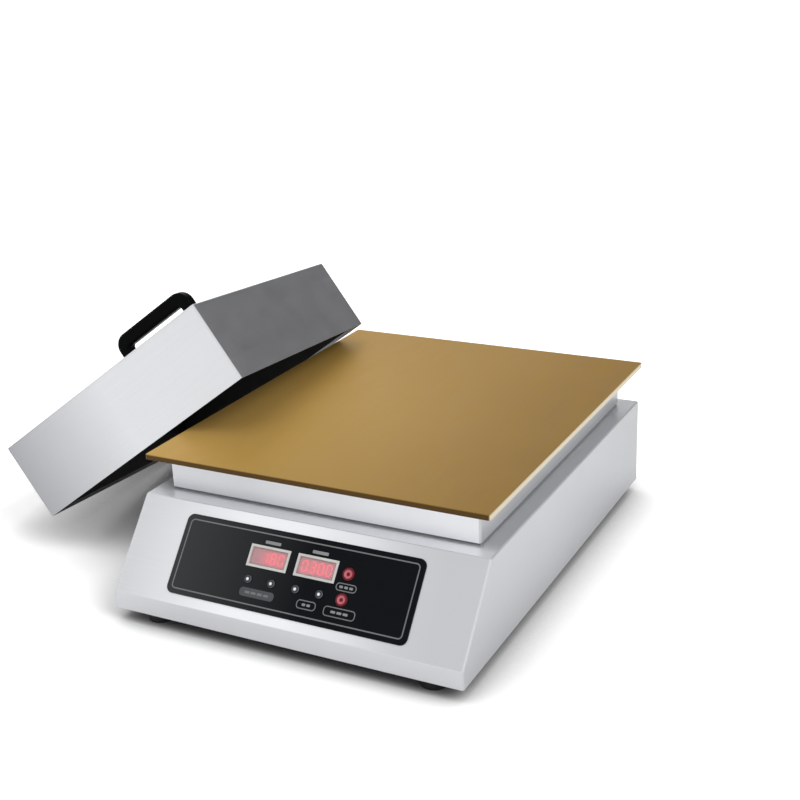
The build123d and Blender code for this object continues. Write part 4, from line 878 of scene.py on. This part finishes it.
def floor_look():
    """White where it is seen, a painted reflection brighter at the left for the metal, and painted shadow near
    what stands on it.
    """
    material = bpy.data.materials.new("floor_look")
    material.use_nodes = True
    tree = material.node_tree
    tree.nodes.clear()
    output = add(tree, "ShaderNodeOutputMaterial")
    diffuse = add(tree, "ShaderNodeBsdfDiffuse")
    straight, mirror = sight_rays(tree)
    # painted reflection: the floor shows brighter to the metal at its left
    painted_reflection_lift = spread(tree, coordinate(tree, "X"), MIRRORED_LEFT, MIRRORED_RIGHT, *MIRRORED_SPAN)
    shade = math_node(tree, "ADD", product(tree, straight, FLOOR_LIFT), FLOOR_SHADE)
    shade = math_node(tree, "ADD", shade, product(tree, mirror, painted_reflection_lift))
    # painted shadow: the floor darkens near what stands on it
    painted_contact_shadow = add(tree, "ShaderNodeAmbientOcclusion", samples=8)
    painted_contact_shadow.inputs["Distance"].default_value = PAINTED_SHADOW_REACH
    tree.links.new(product(tree, shade, painted_contact_shadow.outputs["AO"]), diffuse.inputs["Color"])
    tree.links.new(diffuse.outputs["BSDF"], output.inputs["Surface"])
    return material


def studio_world():
    """White where it is seen, but for a dark wall that metal mirrors, and softer as a light."""
    world = bpy.data.worlds.new("studio")
    world.use_nodes = True
    tree = world.node_tree
    tree.nodes.clear()
    output = add(tree, "ShaderNodeOutputWorld")
    background = add(tree, "ShaderNodeBackground")
    background.inputs["Color"].default_value = (1.0, 1.0, 1.0, 1.0)
    straight, mirror = sight_rays(tree)
    seen = largest(tree, straight, mirror)
    ceiling = around(tree, UP, *CEILING_ANGLES)
    light = math_node(tree, "ADD", product(tree, ceiling, CEILING - HORIZON), HORIZON)
    wall = product(tree, around(tree, BACK_WALL, *BACK_WALL_ANGLES), BACK_WALL_DARK, mirror)
    room = math_node(tree, "SUBTRACT", 1.0, wall)
    unseen = math_node(tree, "SUBTRACT", 1.0, seen)
    strength = math_node(tree, "ADD", product(tree, seen, room), product(tree, unseen, light))
    tree.links.new(strength, background.inputs["Strength"])
    tree.links.new(background.outputs["Background"], output.inputs["Surface"])
    return world


def far_lamp(name, direction, power, angle):
    """A wide sun that metal does not mirror."""
    lamp = bpy.data.lights.new(name, "SUN")
    lamp.energy = power
    lamp.angle = math.radians(angle)
    holder = bpy.data.objects.new(name, lamp)
    scene.collection.objects.link(holder)
    holder.rotation_euler = (-Vector(direction)).to_track_quat("-Z", "Y").to_euler()
    holder.visible_glossy = False


FLOOR_REACH = 30.0
floor_mesh = bpy.data.meshes.new("floor")
floor_shape = bmesh.new()
floor_corners = ((-1, -1), (1, -1), (1, 1), (-1, 1))
floor_shape.faces.new(
    [floor_shape.verts.new((x * FLOOR_REACH, y * FLOOR_REACH, 0)) for x, y in floor_corners]
)
floor_shape.to_mesh(floor_mesh)
floor_shape.free()
floor = bpy.data.objects.new("floor", floor_mesh)
scene.collection.objects.link(floor)
floor.data.materials.append(floor_look())
scene.world = studio_world()
far_lamp("key", KEY_FROM, KEY_POWER, KEY_ANGLE)
far_lamp("fill", FILL_FROM, FILL_POWER, FILL_ANGLE)

# Camera, at the photograph's place
FOCAL_PIXELS = 1316.979
FRAME_PIXELS = 800
SENSOR_WIDTH = 36.0
AZIMUTH = math.radians(27.729)
ELEVATION = math.radians(20.27)
ROLL = math.radians(-2.291)
CAMERA_PLACE = Vector((0.674548 + MIDDLE_X, -0.991386 + FRONT_Y, 0.720842))

level = Vector((-math.sin(AZIMUTH), math.cos(AZIMUTH), 0.0))
forward = level * math.cos(ELEVATION) - UP * math.sin(ELEVATION)
right = Vector((math.cos(AZIMUTH), math.sin(AZIMUTH), 0.0))
upward = right.cross(forward)
right_rolled = right * math.cos(ROLL) + upward * math.sin(ROLL)
up_rolled = upward * math.cos(ROLL) - right * math.sin(ROLL)
camera_data = bpy.data.cameras.new("camera")
camera = bpy.data.objects.new("camera", camera_data)
scene.collection.objects.link(camera)
camera_data.sensor_fit = "HORIZONTAL"
camera_data.sensor_width = SENSOR_WIDTH
camera_data.lens = SENSOR_WIDTH * FOCAL_PIXELS / FRAME_PIXELS
camera_data.clip_start = 0.05
camera_data.clip_end = 100.0
turn = Matrix((right_rolled, up_rolled, -forward)).transposed().to_4x4()
camera.matrix_world = Matrix.Translation(CAMERA_PLACE) @ turn
scene.camera = camera
scene.view_settings.view_transform = "Standard"
